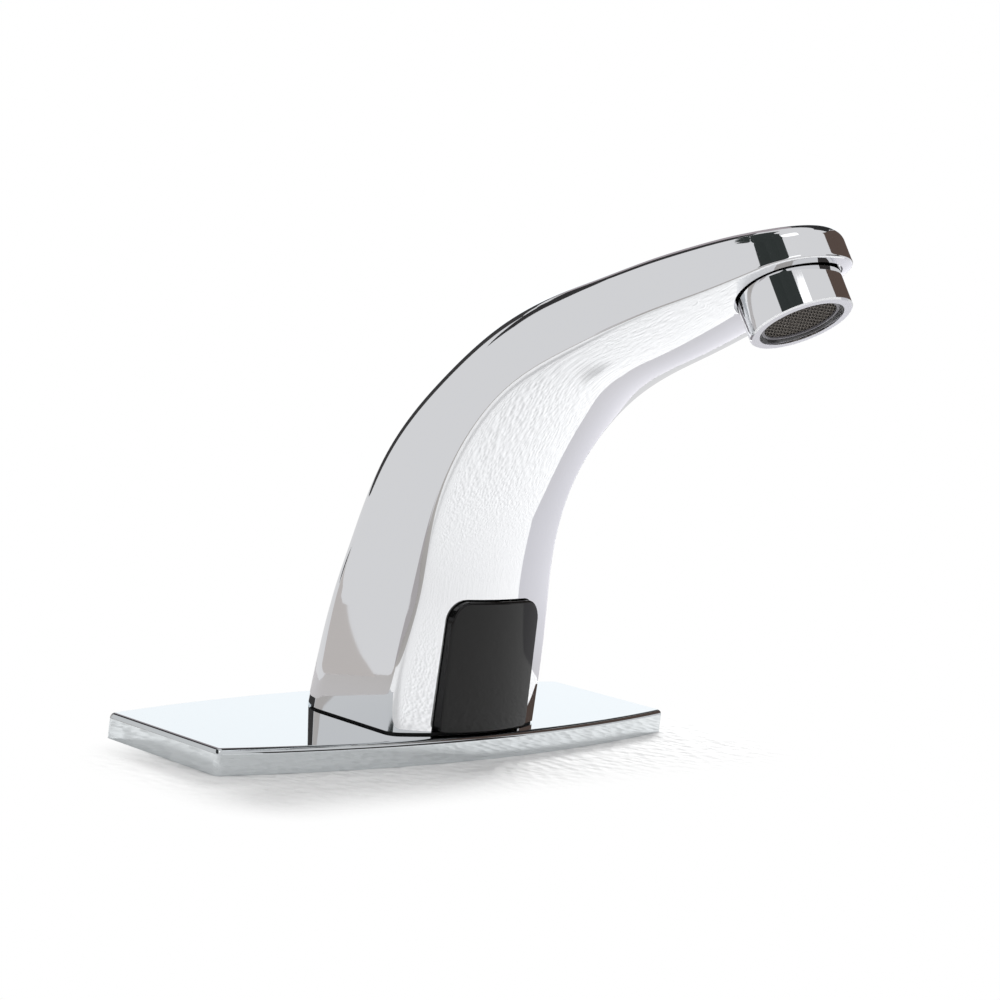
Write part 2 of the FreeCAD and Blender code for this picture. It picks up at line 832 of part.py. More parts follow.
def make_spout_body():
    casting = make_outside()
    cut_nose(casting)
    rounded = round_casting(casting)
    core = make_core(station_named["neck"])
    tools = [core, make_window_opening()]
    tools.append(
        block(
            "module_room",
            module_half + module_gap,
            -gasket_back - core_overrun,
            -module_back,
            body_base - core_overrun,
            module_top + module_gap,
        )
    )
    web_cut = foot_web + 2 * core_overrun
    below = body_base - core_overrun
    tools.append(cylinder("shank_hole", shank_radius + thread_clearance, web_cut, 0, 0, below))
    tools.append(cylinder("lead_hole", lead_hole_radius, web_cut, 0, lead_hole_place, below))
    for side in (-1, 1):
        tools.append(
            cylinder(
                "screw_hole_" + ("left" if side < 0 else "right"),
                screw_radius + screw_hole_clearance,
                screw_length + core_overrun,
                side * screw_spacing / 2,
                -module_back - core_overrun,
                screw_height,
                -90,
            )
        )
    socket = tube_socket_depth + seal_pocket_depth
    room = seal_pocket_depth + seal_room_reach
    tools.append(along_tube_end("tube_socket", tube_radius + tube_clearance, socket, socket))
    tools.append(along_tube_end("tube_seal_room", seal_room_radius, tube_socket_depth + room, room))
    tools.append(along_tube_end("flow_bore", flow_bore_radius, core_overrun, flow_bore_length))
    seat = aerator_thread_height + aerator_washer_height + 2 * aerator_washer_gap
    recess = cylinder("aerator_recess", recess_radius, recess_depth + aerator_drop)
    to_aerator_frame(recess, -aerator_drop)
    thread = cylinder("aerator_thread", aerator_radius + aerator_clearance, seat)
    to_aerator_frame(thread)
    chamber = cylinder("aerator_chamber", chamber_radius, chamber_height + core_overrun)
    to_aerator_frame(chamber, seat - core_overrun)
    tools += [recess, thread, chamber]
    hollow = boolean("MultiFuse", "casting_hollows", tools)
    return keep(boolean("Cut", "spout_body", [rounded, hollow]))


# ---- shank, tube, seals and fixing --------------------------------------------------

def make_threaded_shank():
    low = -shank_below_deck
    relief_low = low + inlet_thread_length + thread_chamfer
    relief_high = relief_low + relief_width
    seal_floor = shank_top - seal_pocket_depth
    socket_floor = seal_floor - tube_socket_depth
    lip_low = socket_floor - socket_lip_height
    narrow = tube_radius - tube_wall
    steps = [
        (shank_bore_radius, low),
        (shank_radius - thread_chamfer, low),
        (shank_radius, low + thread_chamfer),
        (shank_radius, relief_low),
        (shank_radius - relief_depth, relief_low),
        (shank_radius - relief_depth, relief_high),
        (shank_radius, relief_high),
        (shank_radius, shank_top),
        (seal_room_radius, shank_top),
        (seal_room_radius, seal_floor),
        (tube_radius + tube_clearance, seal_floor),
        (tube_radius + tube_clearance, socket_floor),
        (narrow, socket_floor),
        (narrow, lip_low),
        (shank_bore_radius, lip_low - shank_bore_radius + narrow),
    ]
    return keep(turned("threaded_shank", steps))


def make_water_tube():
    """Copper tube through the casting: straight runs with bends as wide as they allow."""
    start = shank_top - seal_pocket_depth - tube_socket_depth
    corners = [
        (0, number(start)),
        (0, number(tube_rise_z)),
        (number(tube_knee_y), number(tube_knee_z)),
        (number(tube_neck_y), number(tube_neck_z)),
        (number(tube_end_y), number(tube_end_z)),
    ]
    points = [V(0, y, z) for y, z in corners]
    edges = []
    begin = points[0]
    for before, here, after in zip(points, points[1:], points[2:]):
        back = (before - here).normalize()
        ahead = (after - here).normalize()
        half_turn = (math.pi - back.getAngle(ahead)) / 2
        shorter = min((before - here).Length, (after - here).Length)
        cut = 0.45 * shorter
        radius = cut / math.tan(half_turn)
        print("water tube bend radius", round(radius, 1))
        first = here + back * cut
        last = here + ahead * cut
        middle_way = (back + ahead).normalize()
        centre = here + middle_way * (radius / math.cos(half_turn))
        middle = centre - middle_way * radius
        edges.append(Part.LineSegment(begin, first).toShape())
        edges.append(Part.Arc(first, middle, last).toShape())
        begin = last
    edges.append(Part.LineSegment(begin, points[-1]).toShape())
    path = doc.addObject("Part::Feature", "water_tube_path")
    path.Shape = Part.Wire(edges)
    solids = []
    for radius in (tube_radius, tube_radius - tube_wall):
        circle = Part.Circle(points[0], V(0, 0, 1), number(radius)).toShape()
        solids.append(path.Shape.makePipeShell([Part.Wire(circle)], True, False))
    tube = doc.addObject("Part::Feature", "water_tube")
    tube.Shape = solids[0].cut(solids[1])
    return keep(tube)


def make_ring_seal(name):
    ring = doc.addObject("Part::Torus", name)
    bind(ring, "Radius1", tube_radius + tube_clearance + seal_cord_radius)
    bind(ring, "Radius2", seal_cord_radius)
    return keep(ring)


def make_tube_seals():
    lower = make_ring_seal("lower_tube_seal")
    put(lower, 0, 0, shank_top - seal_pocket_depth + tube_clearance + seal_cord_radius)
    upper = make_ring_seal("upper_tube_seal")
    place_on_tube_end(upper, tube_socket_depth + tube_clearance + seal_cord_radius)


def make_cable_grommet():
    foot = grommet_foot_gap
    steps = [
        (grommet_bore_radius, foot),
        (grommet_radius, foot),
        (grommet_radius, web_top),
        (grommet_flange_radius, web_top),
        (grommet_flange_radius, web_top + grommet_flange_height),
        (grommet_bore_radius, web_top + grommet_flange_height),
    ]
    grommet = turned("cable_grommet", steps)
    put(grommet, 0, lead_hole_place, 0)
    return keep(grommet)


def make_slotted_washer(name, top, height):
    """A washer with a slot out to its back edge, which lets the sensor's lead through."""
    body = new_body(name)
    sketch = new_sketch(body, "outline", "XY_Plane", 0, top - height)
    draw_circle(sketch, washer_radius)
    draw_circle(sketch, shank_radius + washer_hole_clearance)
    pad(body, "blank", sketch, height)
    half = washer_slot_width / 2
    slot = new_sketch(body, "slot", "XY_Plane", 0, top - height)
    far = washer_radius + half
    draw_polygon(slot, [(-half, shank_radius / 2), (half, shank_radius / 2), (half, far), (-half, far)])
    pocket(body, "slot_cut", slot, height)
    return keep(body)


def make_lock_nut():
    top = -deck_thickness - rubber_washer_height - clamp_washer_height
    body = new_body("lock_nut")
    sketch = new_sketch(body, "outline", "XY_Plane", 0, top - nut_height)
    corner_radius = nut_across_flats / (2 * cos_of(Size(30.0, "30")))
    corners = []
    for index in range(6):
        angle = Size(60.0 * index, str(60 * index))
        corners.append((corner_radius * cos_of(angle), corner_radius * sin_of(angle)))
    draw_polygon(sketch, corners)
    draw_circle(sketch, shank_radius + thread_clearance)
    pad(body, "blank", sketch, nut_height)
    reach = number(corner_radius)

    def rim(edge):
        return edge.BoundBox.ZLength < 0.01 and abs(edge.Length - reach) < 0.01

    dress_edges("Chamfer", "Size", body, "chamfer", rim, nut_chamfer)
    return keep(body)


# ---- sensor -------------------------------------------------------------------------

def front_slab(body, name, corners, near, far):
    """Pad an outline drawn in x and z, from y = -near back to y = -far."""
    sketch = new_sketch(body, name, "XZ_Plane", 0, far)
    draw_polygon(sketch, corners)
    return pad(body, name + "_pad", sketch, near - far)


def rectangle(half, low, high, x=0):
    return [(x - half, low), (x + half, low), (x + half, high), (x - half, high)]


def front_cut(body, name, corners, near, far):
    sketch = new_sketch(body, name, "XZ_Plane", 0, far)
    draw_polygon(sketch, corners)
    return pocket(body, name + "_cut", sketch, near - far)


def make_sensor_window():
    body = new_body("sensor_window")
    sketch = new_sketch(body, "plan", "XY_Plane", 0, window_low)
    half = number(window_half_width)
    crown = number(window_crown_radius)
    centre = -window_front + window_crown_radius
    front_y = number(centre) - math.sqrt(crown ** 2 - half ** 2)
    back_y = -number(window_back)
    sketch.addGeometry(
        [
            arc_between(number(centre), crown, (-half, front_y), (half, front_y)),
            Part.LineSegment(V(half, front_y, 0), V(half, back_y, 0)),
            Part.LineSegment(V(half, back_y, 0), V(-half, back_y, 0)),
            Part.LineSegment(V(-half, back_y, 0), V(-half, front_y, 0)),
        ],
        False,
    )
    for index in range(4):
        joint = Sketcher.Constraint("Coincident", index, 2, (index + 1) % 4, 1)
        sketch.addConstraint(joint)
    sketch.addConstraint(Sketcher.Constraint("Symmetric", 0, 1, 0, 2, -2))
    sketch.addConstraint(Sketcher.Constraint("Vertical", 1))
    sketch.addConstraint(Sketcher.Constraint("Vertical", 3))
    hold(sketch, window_crown_radius, "Radius", 0)
    hold(sketch, centre, "DistanceY", -1, 1, 0, 3)
    hold_point(sketch, 2, 1, window_half_width, -window_back)
    pad(body, "blank", sketch, window_height)
    middle = number(window_low + window_height / 2)

    def top_corner(edge):
        return runs_along(edge, 1) and edge.BoundBox.ZMin > middle

    def foot_corner(edge):
        return runs_along(edge, 1) and edge.BoundBox.ZMin < middle

    round_edges(body, "top_corners", top_corner, window_top_radius)
    round_edges(body, "foot_corners", foot_corner, window_foot_radius)
    back = back_y
    round_edges(body, "edge", lambda edge: edge.BoundBox.YMax < back - 0.5, window_edge_round)
    return keep(body)


def make_window_gasket():
    body = new_body("window_gasket")
    outer = rectangle(window_half_width, window_low, window_top)
    front_slab(body, "outline", outer, window_back, gasket_back)
    middle = number(window_low + window_height / 2)
    round_edges(
        body,
        "top_corners",
        lambda edge: runs_along(edge, 1) and edge.BoundBox.ZMin > middle,
        window_top_radius,
    )
    inner = rectangle(module_half + module_gap, body_base, module_top + module_gap)
    front_cut(body, "opening", inner, window_back, gasket_back)
    return keep(body)


def make_sensor_housing():
    body = new_body("sensor_housing")
    outer = rectangle(module_half, module_low, module_top)
    front_slab(body, "outline", outer, window_back, module_back)
    floor = module_back + module_wall
    inner = rectangle(module_half - module_wall, module_low + module_wall, module_top - module_wall)
    front_cut(body, "room", inner, window_back, floor)
    holes = new_sketch(body, "holes", "XZ_Plane", 0, module_back)
    for side in (-1, 1):
        draw_circle(holes, screw_radius + module_gap, side * screw_spacing / 2, screw_height)
    draw_circle(holes, lead_exit_radius, 0, eye_height)
    pocket(body, "holes_cut", holes, module_wall)
    return keep(body)


board_back = module_back + module_wall
board_front = board_back + board_thickness


def make_sensor_board():
    body = new_body("sensor_board")
    half = module_half - module_wall - module_gap
    outline = rectangle(half, board_foot, module_top - module_wall - module_gap)
    front_slab(body, "outline", outline, board_front, board_back)
    return keep(body)


def make_eye(name, x, z, radius, length):
    """A round-ended diode lying along Y, its base on the board."""
    body = turned(name, ring_steps(0, radius, 0, length))
    top = number(length) - 0.01
    round_edges(body, "dome", lambda edge: edge.BoundBox.ZMin > top, radius - eye_flat_radius)
    put(body, x, -board_front, z, 90)
    return keep(body)


def make_light_baffle():
    body = new_body("light_baffle")
    half = baffle_thickness / 2
    high = module_top - module_wall - module_gap
    low = led_height + led_radius + module_gap
    front_slab(body, "outline", rectangle(half, low, high), window_back - baffle_gap, board_front)
    return keep(body)


def make_sensor_screws():
    screws = []
    for side in (-1, 1):
        steps = [
            (0, -screw_length),
            (screw_radius, -screw_length),
            (screw_radius, 0),
            (screw_head_radius, 0),
            (screw_head_radius, screw_head_height),
            (0, screw_head_height),
        ]
        screw = turned("screw_" + ("left" if side < 0 else "right"), steps)
        put(screw, side * screw_spacing / 2, -board_back, screw_height, 90)
        screws.append(screw)
    group = doc.addObject("Part::Compound", "sensor_screws")
    group.Links = screws
    doc.recompute()
    return keep(group)


# ---- aerator ------------------------------------------------------------------------

housing_floor = -aerator_drop + aerator_lip_height
cartridge_radius = aerator_bore_radius - cartridge_clearance
mesh_seat = housing_floor + mesh_ring_lift + mesh_ring_height + mesh_thickness


def make_aerator_housing():
    edge = aerator_edge_chamfer
    low = -aerator_drop
    steps = [
        (aerator_mouth_radius, low),
        (aerator_radius - edge, low),
        (aerator_radius, low + edge),
        (aerator_radius, aerator_thread_height),
        (aerator_bore_radius, aerator_thread_height),
        (aerator_bore_radius, housing_floor),
        (aerator_mouth_radius, housing_floor),
    ]
    housing = turned("aerator_housing", steps)
    to_aerator_frame(housing)
    return keep(housing)


def make_aerator_washer():
    outer = aerator_radius - cartridge_clearance
    low = aerator_thread_height + aerator_washer_gap
    steps = ring_steps(outer - aerator_washer_width, outer, low, low + aerator_washer_height)
    washer = turned("aerator_washer", steps)
    to_aerator_frame(washer)
    return keep(washer)


def make_aerator_cartridge():
    ledge = housing_floor + flow_disc_lift + mesh_ring_height + mesh_thickness
    bore = cartridge_bore_radius
    steps = [
        (mesh_seat_radius, housing_floor),
        (cartridge_radius, housing_floor),
        (cartridge_radius, housing_floor + cartridge_height),
        (bore, housing_floor + cartridge_height),
        (bore, ledge),
        (bore - cartridge_ledge_width, ledge),
        (bore - cartridge_ledge_width, ledge - cartridge_ledge_height),
        (bore, ledge - cartridge_ledge_height),
        (bore, mesh_seat),
        (mesh_seat_radius, mesh_seat),
    ]
    cartridge = turned("aerator_cartridge", steps)
    to_aerator_frame(cartridge)
    return keep(cartridge), ledge


def make_mesh_ring():
    outer = mesh_seat_radius - cartridge_clearance / 2
    low = housing_floor + mesh_ring_lift
    steps = ring_steps(outer - mesh_ring_width, outer, low, low + mesh_ring_height)
    ring = turned("mesh_ring", steps)
    to_aerator_frame(ring)
    return keep(ring)


def make_aerator_mesh():
    """A round screen with square holes set cornerwise."""
    body = new_body("aerator_mesh")
    low = mesh_seat - mesh_thickness
    radius = mesh_seat_radius - cartridge_clearance / 2
    disc = new_sketch(body, "disc", "XY_Plane", 0, low)
    draw_circle(disc, radius)
    pad(body, "disc_pad", disc, mesh_thickness)
    clear = number(radius - mesh_ring_width)
    pitch = number(mesh_pitch)
    reach = number(mesh_hole) / math.sqrt(2)
    step = pitch / math.sqrt(2)
    rows = int(clear / step)
    grid = body.newObject("Sketcher::SketchObject", "aerator_mesh_grid")
    attach(grid, body, "XY_Plane", 0, low)
    lines = []
    for row in range(-rows, rows + 1):
        for column in range(-rows, rows + 1):
            if (row + column) % 2 or math.hypot(row, column) * step + reach > clear:
                continue
            x, y = column * step, row * step
            ring = [V(x + reach, y, 0), V(x, y + reach, 0), V(x - reach, y, 0), V(x, y - reach, 0)]
            for index in range(4):
                lines.append(Part.LineSegment(ring[index], ring[(index + 1) % 4]))
    grid.addGeometry(lines, False)
    print("aerator mesh holes", len(lines) // 4)
    pocket(body, "grid_cut", grid, mesh_thickness)
    to_aerator_frame(body)
    return keep(body)


def make_flow_disc(ledge):
    body = new_body("flow_disc")
    sketch = new_sketch(body, "disc", "XY_Plane", 0, ledge)
    draw_circle(sketch, cartridge_bore_radius - cartridge_clearance)
    pad(body, "disc_pad", sketch, flow_disc_height)
    hole = new_sketch(body, "hole", "XY_Plane", 0, ledge)
    draw_circle(hole, flow_hole_radius, flow_hole_circle, 0)
    first = pocket(body, "hole_cut", hole, flow_disc_height)
    pattern = body.newObject("PartDesign::PolarPattern", "flow_disc_holes")
    pattern.Originals = [first]
    pattern.Axis = (hole, ["N_Axis"])
    pattern.Angle = 360
    pattern.Occurrences = 12
    body.Tip = pattern
    doc.recompute()
    to_aerator_frame(body)
    return keep(body)


def make_inlet_screen(ledge):
    low = ledge + flow_disc_height
    outer = cartridge_bore_radius - cartridge_clearance
    top = low + screen_height
    inner = outer - screen_wall
    steps = [
        (inner, low),
        (outer, low),
        (outer, top),
        (0, top),
        (0, top - screen_wall),
        (inner, top - screen_wall),
    ]
    body = turned("inlet_screen", steps)
    grid = new_sketch(body, "grid", "XY_Plane", 0, top - screen_wall)
    for circle in (1, 2, 3):
        count = 6 * circle
        for index in range(count):
            angle = Size(360.0 * index / count, repr(360.0 * index / count))
            away = inner * (circle / 4.0)
            draw_circle(grid, screen_hole_radius, away * cos_of(angle), away * sin_of(angle))
    pocket(body, "grid_cut", grid, screen_wall)
    to_aerator_frame(body)
    return keep(body)


# ---- build --------------------------------------------------------------------------

make_spout_body()
make_deck_plate()
make_plate_gasket()
make_body_gasket()
make_threaded_shank()
make_water_tube()
make_tube_seals()
make_cable_grommet()
make_slotted_washer("rubber_washer", -deck_thickness, rubber_washer_height)
make_slotted_washer("clamp_washer", -deck_thickness - rubber_washer_height, clamp_washer_height)
make_lock_nut()
make_sensor_window()
make_window_gasket()
make_sensor_housing()
make_sensor_board()
make_eye("ir_emitter", -eye_spacing / 2, eye_height, eye_radius, eye_length)
make_eye("ir_receiver", eye_spacing / 2, eye_height, eye_radius, eye_length)
make_eye("status_led", 0, led_height, led_radius, eye_length)
make_light_baffle()
make_sensor_screws()
make_aerator_housing()
make_aerator_washer()
cartridge_ledge = make_aerator_cartridge()[1]
make_mesh_ring()
make_aerator_mesh()
make_flow_disc(cartridge_ledge)
make_inlet_screen(cartridge_ledge)

doc.recompute()
for item in doc.Objects:
    if "Invalid" in item.State or "Error" in item.State:
        raise RuntimeError(item.Name + " failed: " + str(item.State))
os.makedirs("parts", exist_ok=True)
for node in nodes:
    shape = node.Shape
    if shape.isNull() or not shape.isValid():
        raise RuntimeError(node.Label + " has no valid shape")
    print(node.Label, "solids", len(shape.Solids), "volume", round(shape.Volume, 1))
for node in nodes:
    node.Shape.exportStep("parts/" + node.Label + ".step")
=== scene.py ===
# %% [markdown]
# # A touchless basin tap in Blender
# The tap is a chromed brass casting on a bowed deck plate, with a black sensor window at
# its foot and an aerator screwed into the spout end. Its solids come from a CAD model that
# stays as it is, and this script gives them their finishes, a studio and a camera.

import math

import bmesh
import bpy
from mathutils import Matrix, Vector


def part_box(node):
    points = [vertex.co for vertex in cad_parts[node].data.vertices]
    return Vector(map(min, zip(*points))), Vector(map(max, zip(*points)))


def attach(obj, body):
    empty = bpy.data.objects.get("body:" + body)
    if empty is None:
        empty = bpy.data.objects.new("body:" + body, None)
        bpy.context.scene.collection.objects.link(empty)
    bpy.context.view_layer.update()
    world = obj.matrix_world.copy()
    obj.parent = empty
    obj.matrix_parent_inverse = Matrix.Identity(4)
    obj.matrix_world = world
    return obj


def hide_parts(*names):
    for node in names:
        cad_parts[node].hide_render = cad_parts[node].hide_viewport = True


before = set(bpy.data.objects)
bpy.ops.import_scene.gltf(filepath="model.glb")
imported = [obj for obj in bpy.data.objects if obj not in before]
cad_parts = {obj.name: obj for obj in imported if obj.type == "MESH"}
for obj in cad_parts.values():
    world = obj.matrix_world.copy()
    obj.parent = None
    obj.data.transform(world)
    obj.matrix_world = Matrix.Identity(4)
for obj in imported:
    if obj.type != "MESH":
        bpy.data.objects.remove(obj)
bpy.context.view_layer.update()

# %% [markdown]
# ## Measures
# Everything on the tap is measured in millimetres, while Blender counts in metres. One
# named factor turns one into the other, so that each size below can be read as on a drawing.

# %% Millimetres and measured places
MM = 0.001


def place_of(node):
    """The lowest and the highest corner of a solid, in millimetres."""
    low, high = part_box(node)
    return Vector(low) / MM, Vector(high) / MM


plate_low, plate_high = place_of("deck_plate")
shell_low, shell_high = place_of("spout_body")
print("plate length", round(plate_high.x - plate_low.x, 1), "mm")
print("spout height", round(shell_high.z, 1), "mm, reach", round(-shell_low.y, 1), "mm")

# %% [markdown]
# ## The camera
# The photograph looks at the tap from its front left, from just above the spout's height.
# The camera's place and its three angles were found by matching the plate's corners and the
# aerator's ring. A long lens keeps the plate's far end nearly as tall as its near end.

# %% Camera
CAMERA_PLACE = Vector((-407.77, -392.75, 113.29))
CAMERA_YAW, CAMERA_PITCH, CAMERA_ROLL = (math.radians(a) for a in (47.8, 5.12, 6.76))
CAMERA_LENS = 80.74

ahead = Vector(
    (
        math.sin(CAMERA_YAW) * math.cos(CAMERA_PITCH),
        math.cos(CAMERA_YAW) * math.cos(CAMERA_PITCH),
        -math.sin(CAMERA_PITCH),
    )
)
level_right = Vector((math.cos(CAMERA_YAW), -math.sin(CAMERA_YAW), 0))
level_up = level_right.cross(ahead)
right = level_right * math.cos(CAMERA_ROLL) + level_up * math.sin(CAMERA_ROLL)
up = level_up * math.cos(CAMERA_ROLL) - level_right * math.sin(CAMERA_ROLL)

camera_data = bpy.data.cameras.new("camera")
camera_data.lens = CAMERA_LENS
camera_data.sensor_width = 36
camera_data.clip_start = 0.01
camera = bpy.data.objects.new("camera", camera_data)
bpy.context.collection.objects.link(camera)
turn = Matrix((right, up, -ahead)).transposed()
camera.matrix_world = Matrix.Translation(CAMERA_PLACE * MM) @ turn.to_4x4()
bpy.context.scene.camera = camera
print("camera looks along", [round(c, 3) for c in ahead])

# %% [markdown]
# ## Colours and nodes
# Colours are picked as they look on a screen, which is sRGB, but Blender mixes light in
# linear values. One function turns a hex colour into those. Another adds a node to a
# material with its settings and its links, so that a material reads as a short list.

# %% Colour and node helpers
def colour(hex_text):
    """An sRGB hex colour as linear red, green, blue and alpha."""
    parts = [int(hex_text[i : i + 2], 16) / 255 for i in (1, 3, 5)]
    linear = [p / 12.92 if p <= 0.04045 else ((p + 0.055) / 1.055) ** 2.4 for p in parts]
    return (*linear, 1.0)


def add(tree, kind, settings=None, **inputs):
    """Add a node. An input is a value or another node's output; a__b stands for 'A B'."""
    node = tree.nodes.new(kind)
    for name, value in (settings or {}).items():
        setattr(node, name, value)
    for name, value in inputs.items():
        key = int(name[1:]) if name[0] == "i" and name[1:].isdigit() else name.replace("__", " ")
        socket = node.inputs[key]
        if isinstance(value, bpy.types.NodeSocket):
            tree.links.new(value, socket)
        else:
            socket.default_value = value
    return node


def new_material(name):
    """An empty material: its node tree, its shader and its output."""
    material = bpy.data.materials.new(name)
    material.use_nodes = True
    tree = material.node_tree
    tree.nodes.clear()
    shader = add(tree, "ShaderNodeBsdfPrincipled")
    add(tree, "ShaderNodeOutputMaterial", Surface=shader.outputs["BSDF"])
    return material, tree, shader


def finish_bump(tree, shader, height, depth_mm, strength=1.0):
    """Give a shader a relief whose full height is a depth in millimetres."""
    bump = add(tree, "ShaderNodeBump", Height=height, Distance=depth_mm * MM, Strength=strength)
    tree.links.new(bump.outputs["Normal"], shader.inputs["Normal"])


print("mid grey as light:", round(colour("#808080")[0], 3))


# %% [markdown]
# ## Chrome
# The casting, the plate and the aerator's ring are bright chrome plate: brass polished on a
# wheel, then nickel and chrome a few hundredths of a millimetre thick. What the eye sees is
# almost only the room, a little cooler than it is. Polishing leaves long soft waves of a
# few micrometres, and handling leaves the faintest haze, so roughness is low but not zero.

# %% Chrome material
WIPE_MM = 6


def chrome(name, tone, wave_mm, wave_depth_mm, haze):
    """Polished chrome plate: a metal whose mirror is bent by long shallow waves."""
    material, tree, shader = new_material(name)
    shader.inputs["Base Color"].default_value = colour(tone)
    shader.inputs["Metallic"].default_value = 1.0
    place = add(tree, "ShaderNodeTexCoord")
    waves = add(
        tree,
        "ShaderNodeTexNoise",
        Vector=place.outputs["Object"],
        Scale=1 / (wave_mm * MM),
        Detail=0.0,
    )
    finish_bump(tree, shader, waves.outputs["Fac"], wave_depth_mm)
    wipe = add(
        tree,
        "ShaderNodeTexNoise",
        Vector=place.outputs["Object"],
        Scale=1 / (WIPE_MM * MM),
        Detail=3.0,
    )
    rough = add(
        tree,
        "ShaderNodeMapRange",
        Value=wipe.outputs["Fac"],
        To__Min=haze * 0.6,
        To__Max=haze * 1.4,
    )
    tree.links.new(rough.outputs["Result"], shader.inputs["Roughness"])
    return material


chrome_casting = chrome("chrome_on_casting", "#F1F2F4", 30, 0.010, 0.035)
chrome_plate = chrome("chrome_on_plate", "#D9DDDF", 45, 0.010, 0.03)
chrome_ring = chrome("chrome_on_turned_ring", "#F0F1F3", 12, 0.001, 0.03)
print("chrome finishes:", [m.name for m in (chrome_casting, chrome_plate, chrome_ring)])


# %% [markdown]
# ## Plastics, rubber and metals that stay plain
# The window is black acrylic that infrared light passes through: it is moulded smooth, so
# it has a crisp highlight over near black. The aerator's insert is acetal, a waxy matte
# plastic. Seals are black rubber with a fine sandy skin. Each finish gets a grain of the
# size that the real surface has, and where that is too fine to show, a coarser one.

# %% Grained material
def grained(name, tone, roughness, grain_mm, depth_mm, variation=0.06, **more):
    """A surface of one colour with a grain of a real size, slightly uneven in tone."""
    material, tree, shader = new_material(name)
    place = add(tree, "ShaderNodeTexCoord")
    grain = add(
        tree,
        "ShaderNodeTexNoise",
        Vector=place.outputs["Object"],
        Scale=1 / (grain_mm * MM),
        Detail=2.0,
    )
    dark = tuple(c * (1 - variation) for c in colour(tone)[:3])
    light = tuple(min(1.0, c * (1 + variation)) for c in colour(tone)[:3])
    blend = add(
        tree,
        "ShaderNodeMix",
        {"data_type": "RGBA"},
        Factor=grain.outputs["Fac"],
        i6=(*dark, 1),
        i7=(*light, 1),
    )
    tree.links.new(blend.outputs[2], shader.inputs["Base Color"])
    shader.inputs["Roughness"].default_value = roughness
    for key, value in more.items():
        shader.inputs[key.replace("__", " ")].default_value = value
    finish_bump(tree, shader, grain.outputs["Fac"], depth_mm)
    return material


black_acrylic = grained(
    "black_acrylic", "#101010", 0.06, 8, 0.002, IOR=1.49, Specular__IOR__Level=0.3
)
black_acetal = grained("black_acetal", "#1B1A19", 0.42, 0.6, 0.01)
grey_acetal = grained("grey_acetal", "#77757A", 0.4, 0.6, 0.01)
white_acetal = grained("white_acetal", "#DAD9D4", 0.45, 0.6, 0.01)
black_rubber = grained("black_rubber", "#1A1A1A", 0.75, 0.5, 0.02)
grey_foam = grained("closed_cell_foam", "#3C3C3E", 0.9, 1.2, 0.15, 0.25)
solder_mask = grained("green_solder_mask", "#14562E", 0.3, 1.0, 0.01)
dark_epoxy = grained("dark_epoxy", "#17131C", 0.1, 2.0, 0.002, IOR=1.55)
red_epoxy = grained("red_epoxy", "#8E1712", 0.15, 2.0, 0.002, IOR=1.55)
turned_brass = grained("turned_brass", "#C8A45C", 0.28, 0.25, 0.004, Metallic=1.0)
drawn_copper = grained("drawn_copper", "#C07A50", 0.3, 0.4, 0.004, Metallic=1.0)
zinc_steel = grained("zinc_plated_steel", "#B4B6B8", 0.34, 0.5, 0.006, Metallic=1.0)
mesh_steel = grained("stainless_mesh", "#6E6964", 0.35, 0.3, 0.004, Metallic=1.0)
print("finishes in all:", len(bpy.data.materials))

# %% [markdown]
# ## Dressing the solids
# Each solid already has its right shape, so it only takes a finish. The list pairs a finish
# with the names of the solids that are made of it.

# %% Give each solid its finish
DRESS = {
    chrome_casting: ["spout_body"],
    chrome_plate: ["deck_plate"],
    chrome_ring: ["aerator_housing"],
    black_acrylic: ["sensor_window"],
    black_acetal: ["aerator_cartridge", "sensor_housing", "light_baffle"],
    grey_acetal: ["mesh_ring"],
    white_acetal: ["flow_disc", "inlet_screen"],
    black_rubber: [
        "body_gasket",
        "lower_tube_seal",
        "upper_tube_seal",
        "cable_grommet",
        "window_gasket",
        "rubber_washer",
        "aerator_washer",
    ],
    grey_foam: ["plate_gasket"],
    solder_mask: ["sensor_board"],
    dark_epoxy: ["ir_emitter", "ir_receiver"],
    red_epoxy: ["status_led"],
    turned_brass: ["threaded_shank", "lock_nut"],
    drawn_copper: ["water_tube"],
    zinc_steel: ["clamp_washer", "sensor_screws"],
    mesh_steel: ["aerator_mesh"],
}
dressed = 0
for finish, names in DRESS.items():
    for name in names:
        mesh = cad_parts[name].data
        mesh.materials.clear()
        mesh.materials.append(finish)
        dressed += 1
print("dressed", dressed, "of", len(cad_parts))

# %% [markdown]
# ## The casting's mirror skin
# The casting is sand-cast brass, ground smooth and polished before it is plated. A mirror
# shows every flat of a mesh as a step in its reflections, so the visible surface is made
# here again as one fine and even mesh. It follows the same line and the same sections as
# the solid: a crowned front, two nearly flat sides and a crowned back. A subdivision
# surface would be softer than the real, fairly crisp edges, so the sections are computed.

# %% Line and sections of the casting
FOOT_REACH, FOOT_LEVEL = 25.8, 6.6
STEM_LEAN, STEM_LENGTH = math.radians(1.5), 41.9
BEND_RADIUS, BEND_END = 56.4, math.radians(63)
NECK_RADIUS, SPOUT_ANGLE = 480, math.radians(57)
FRONT_CROWN = 64
FOOT_SHOULDER, SPOUT_SHOULDER = 9, 3.5
FOOT_CORNER, SPOUT_CORNER = 3.5, 0.6

BEND_START_LENGTH = STEM_LENGTH
NECK_START_LENGTH = BEND_START_LENGTH + BEND_RADIUS * (BEND_END - STEM_LEAN)
LIP_LENGTH = NECK_START_LENGTH + NECK_RADIUS * (BEND_END - SPOUT_ANGLE)


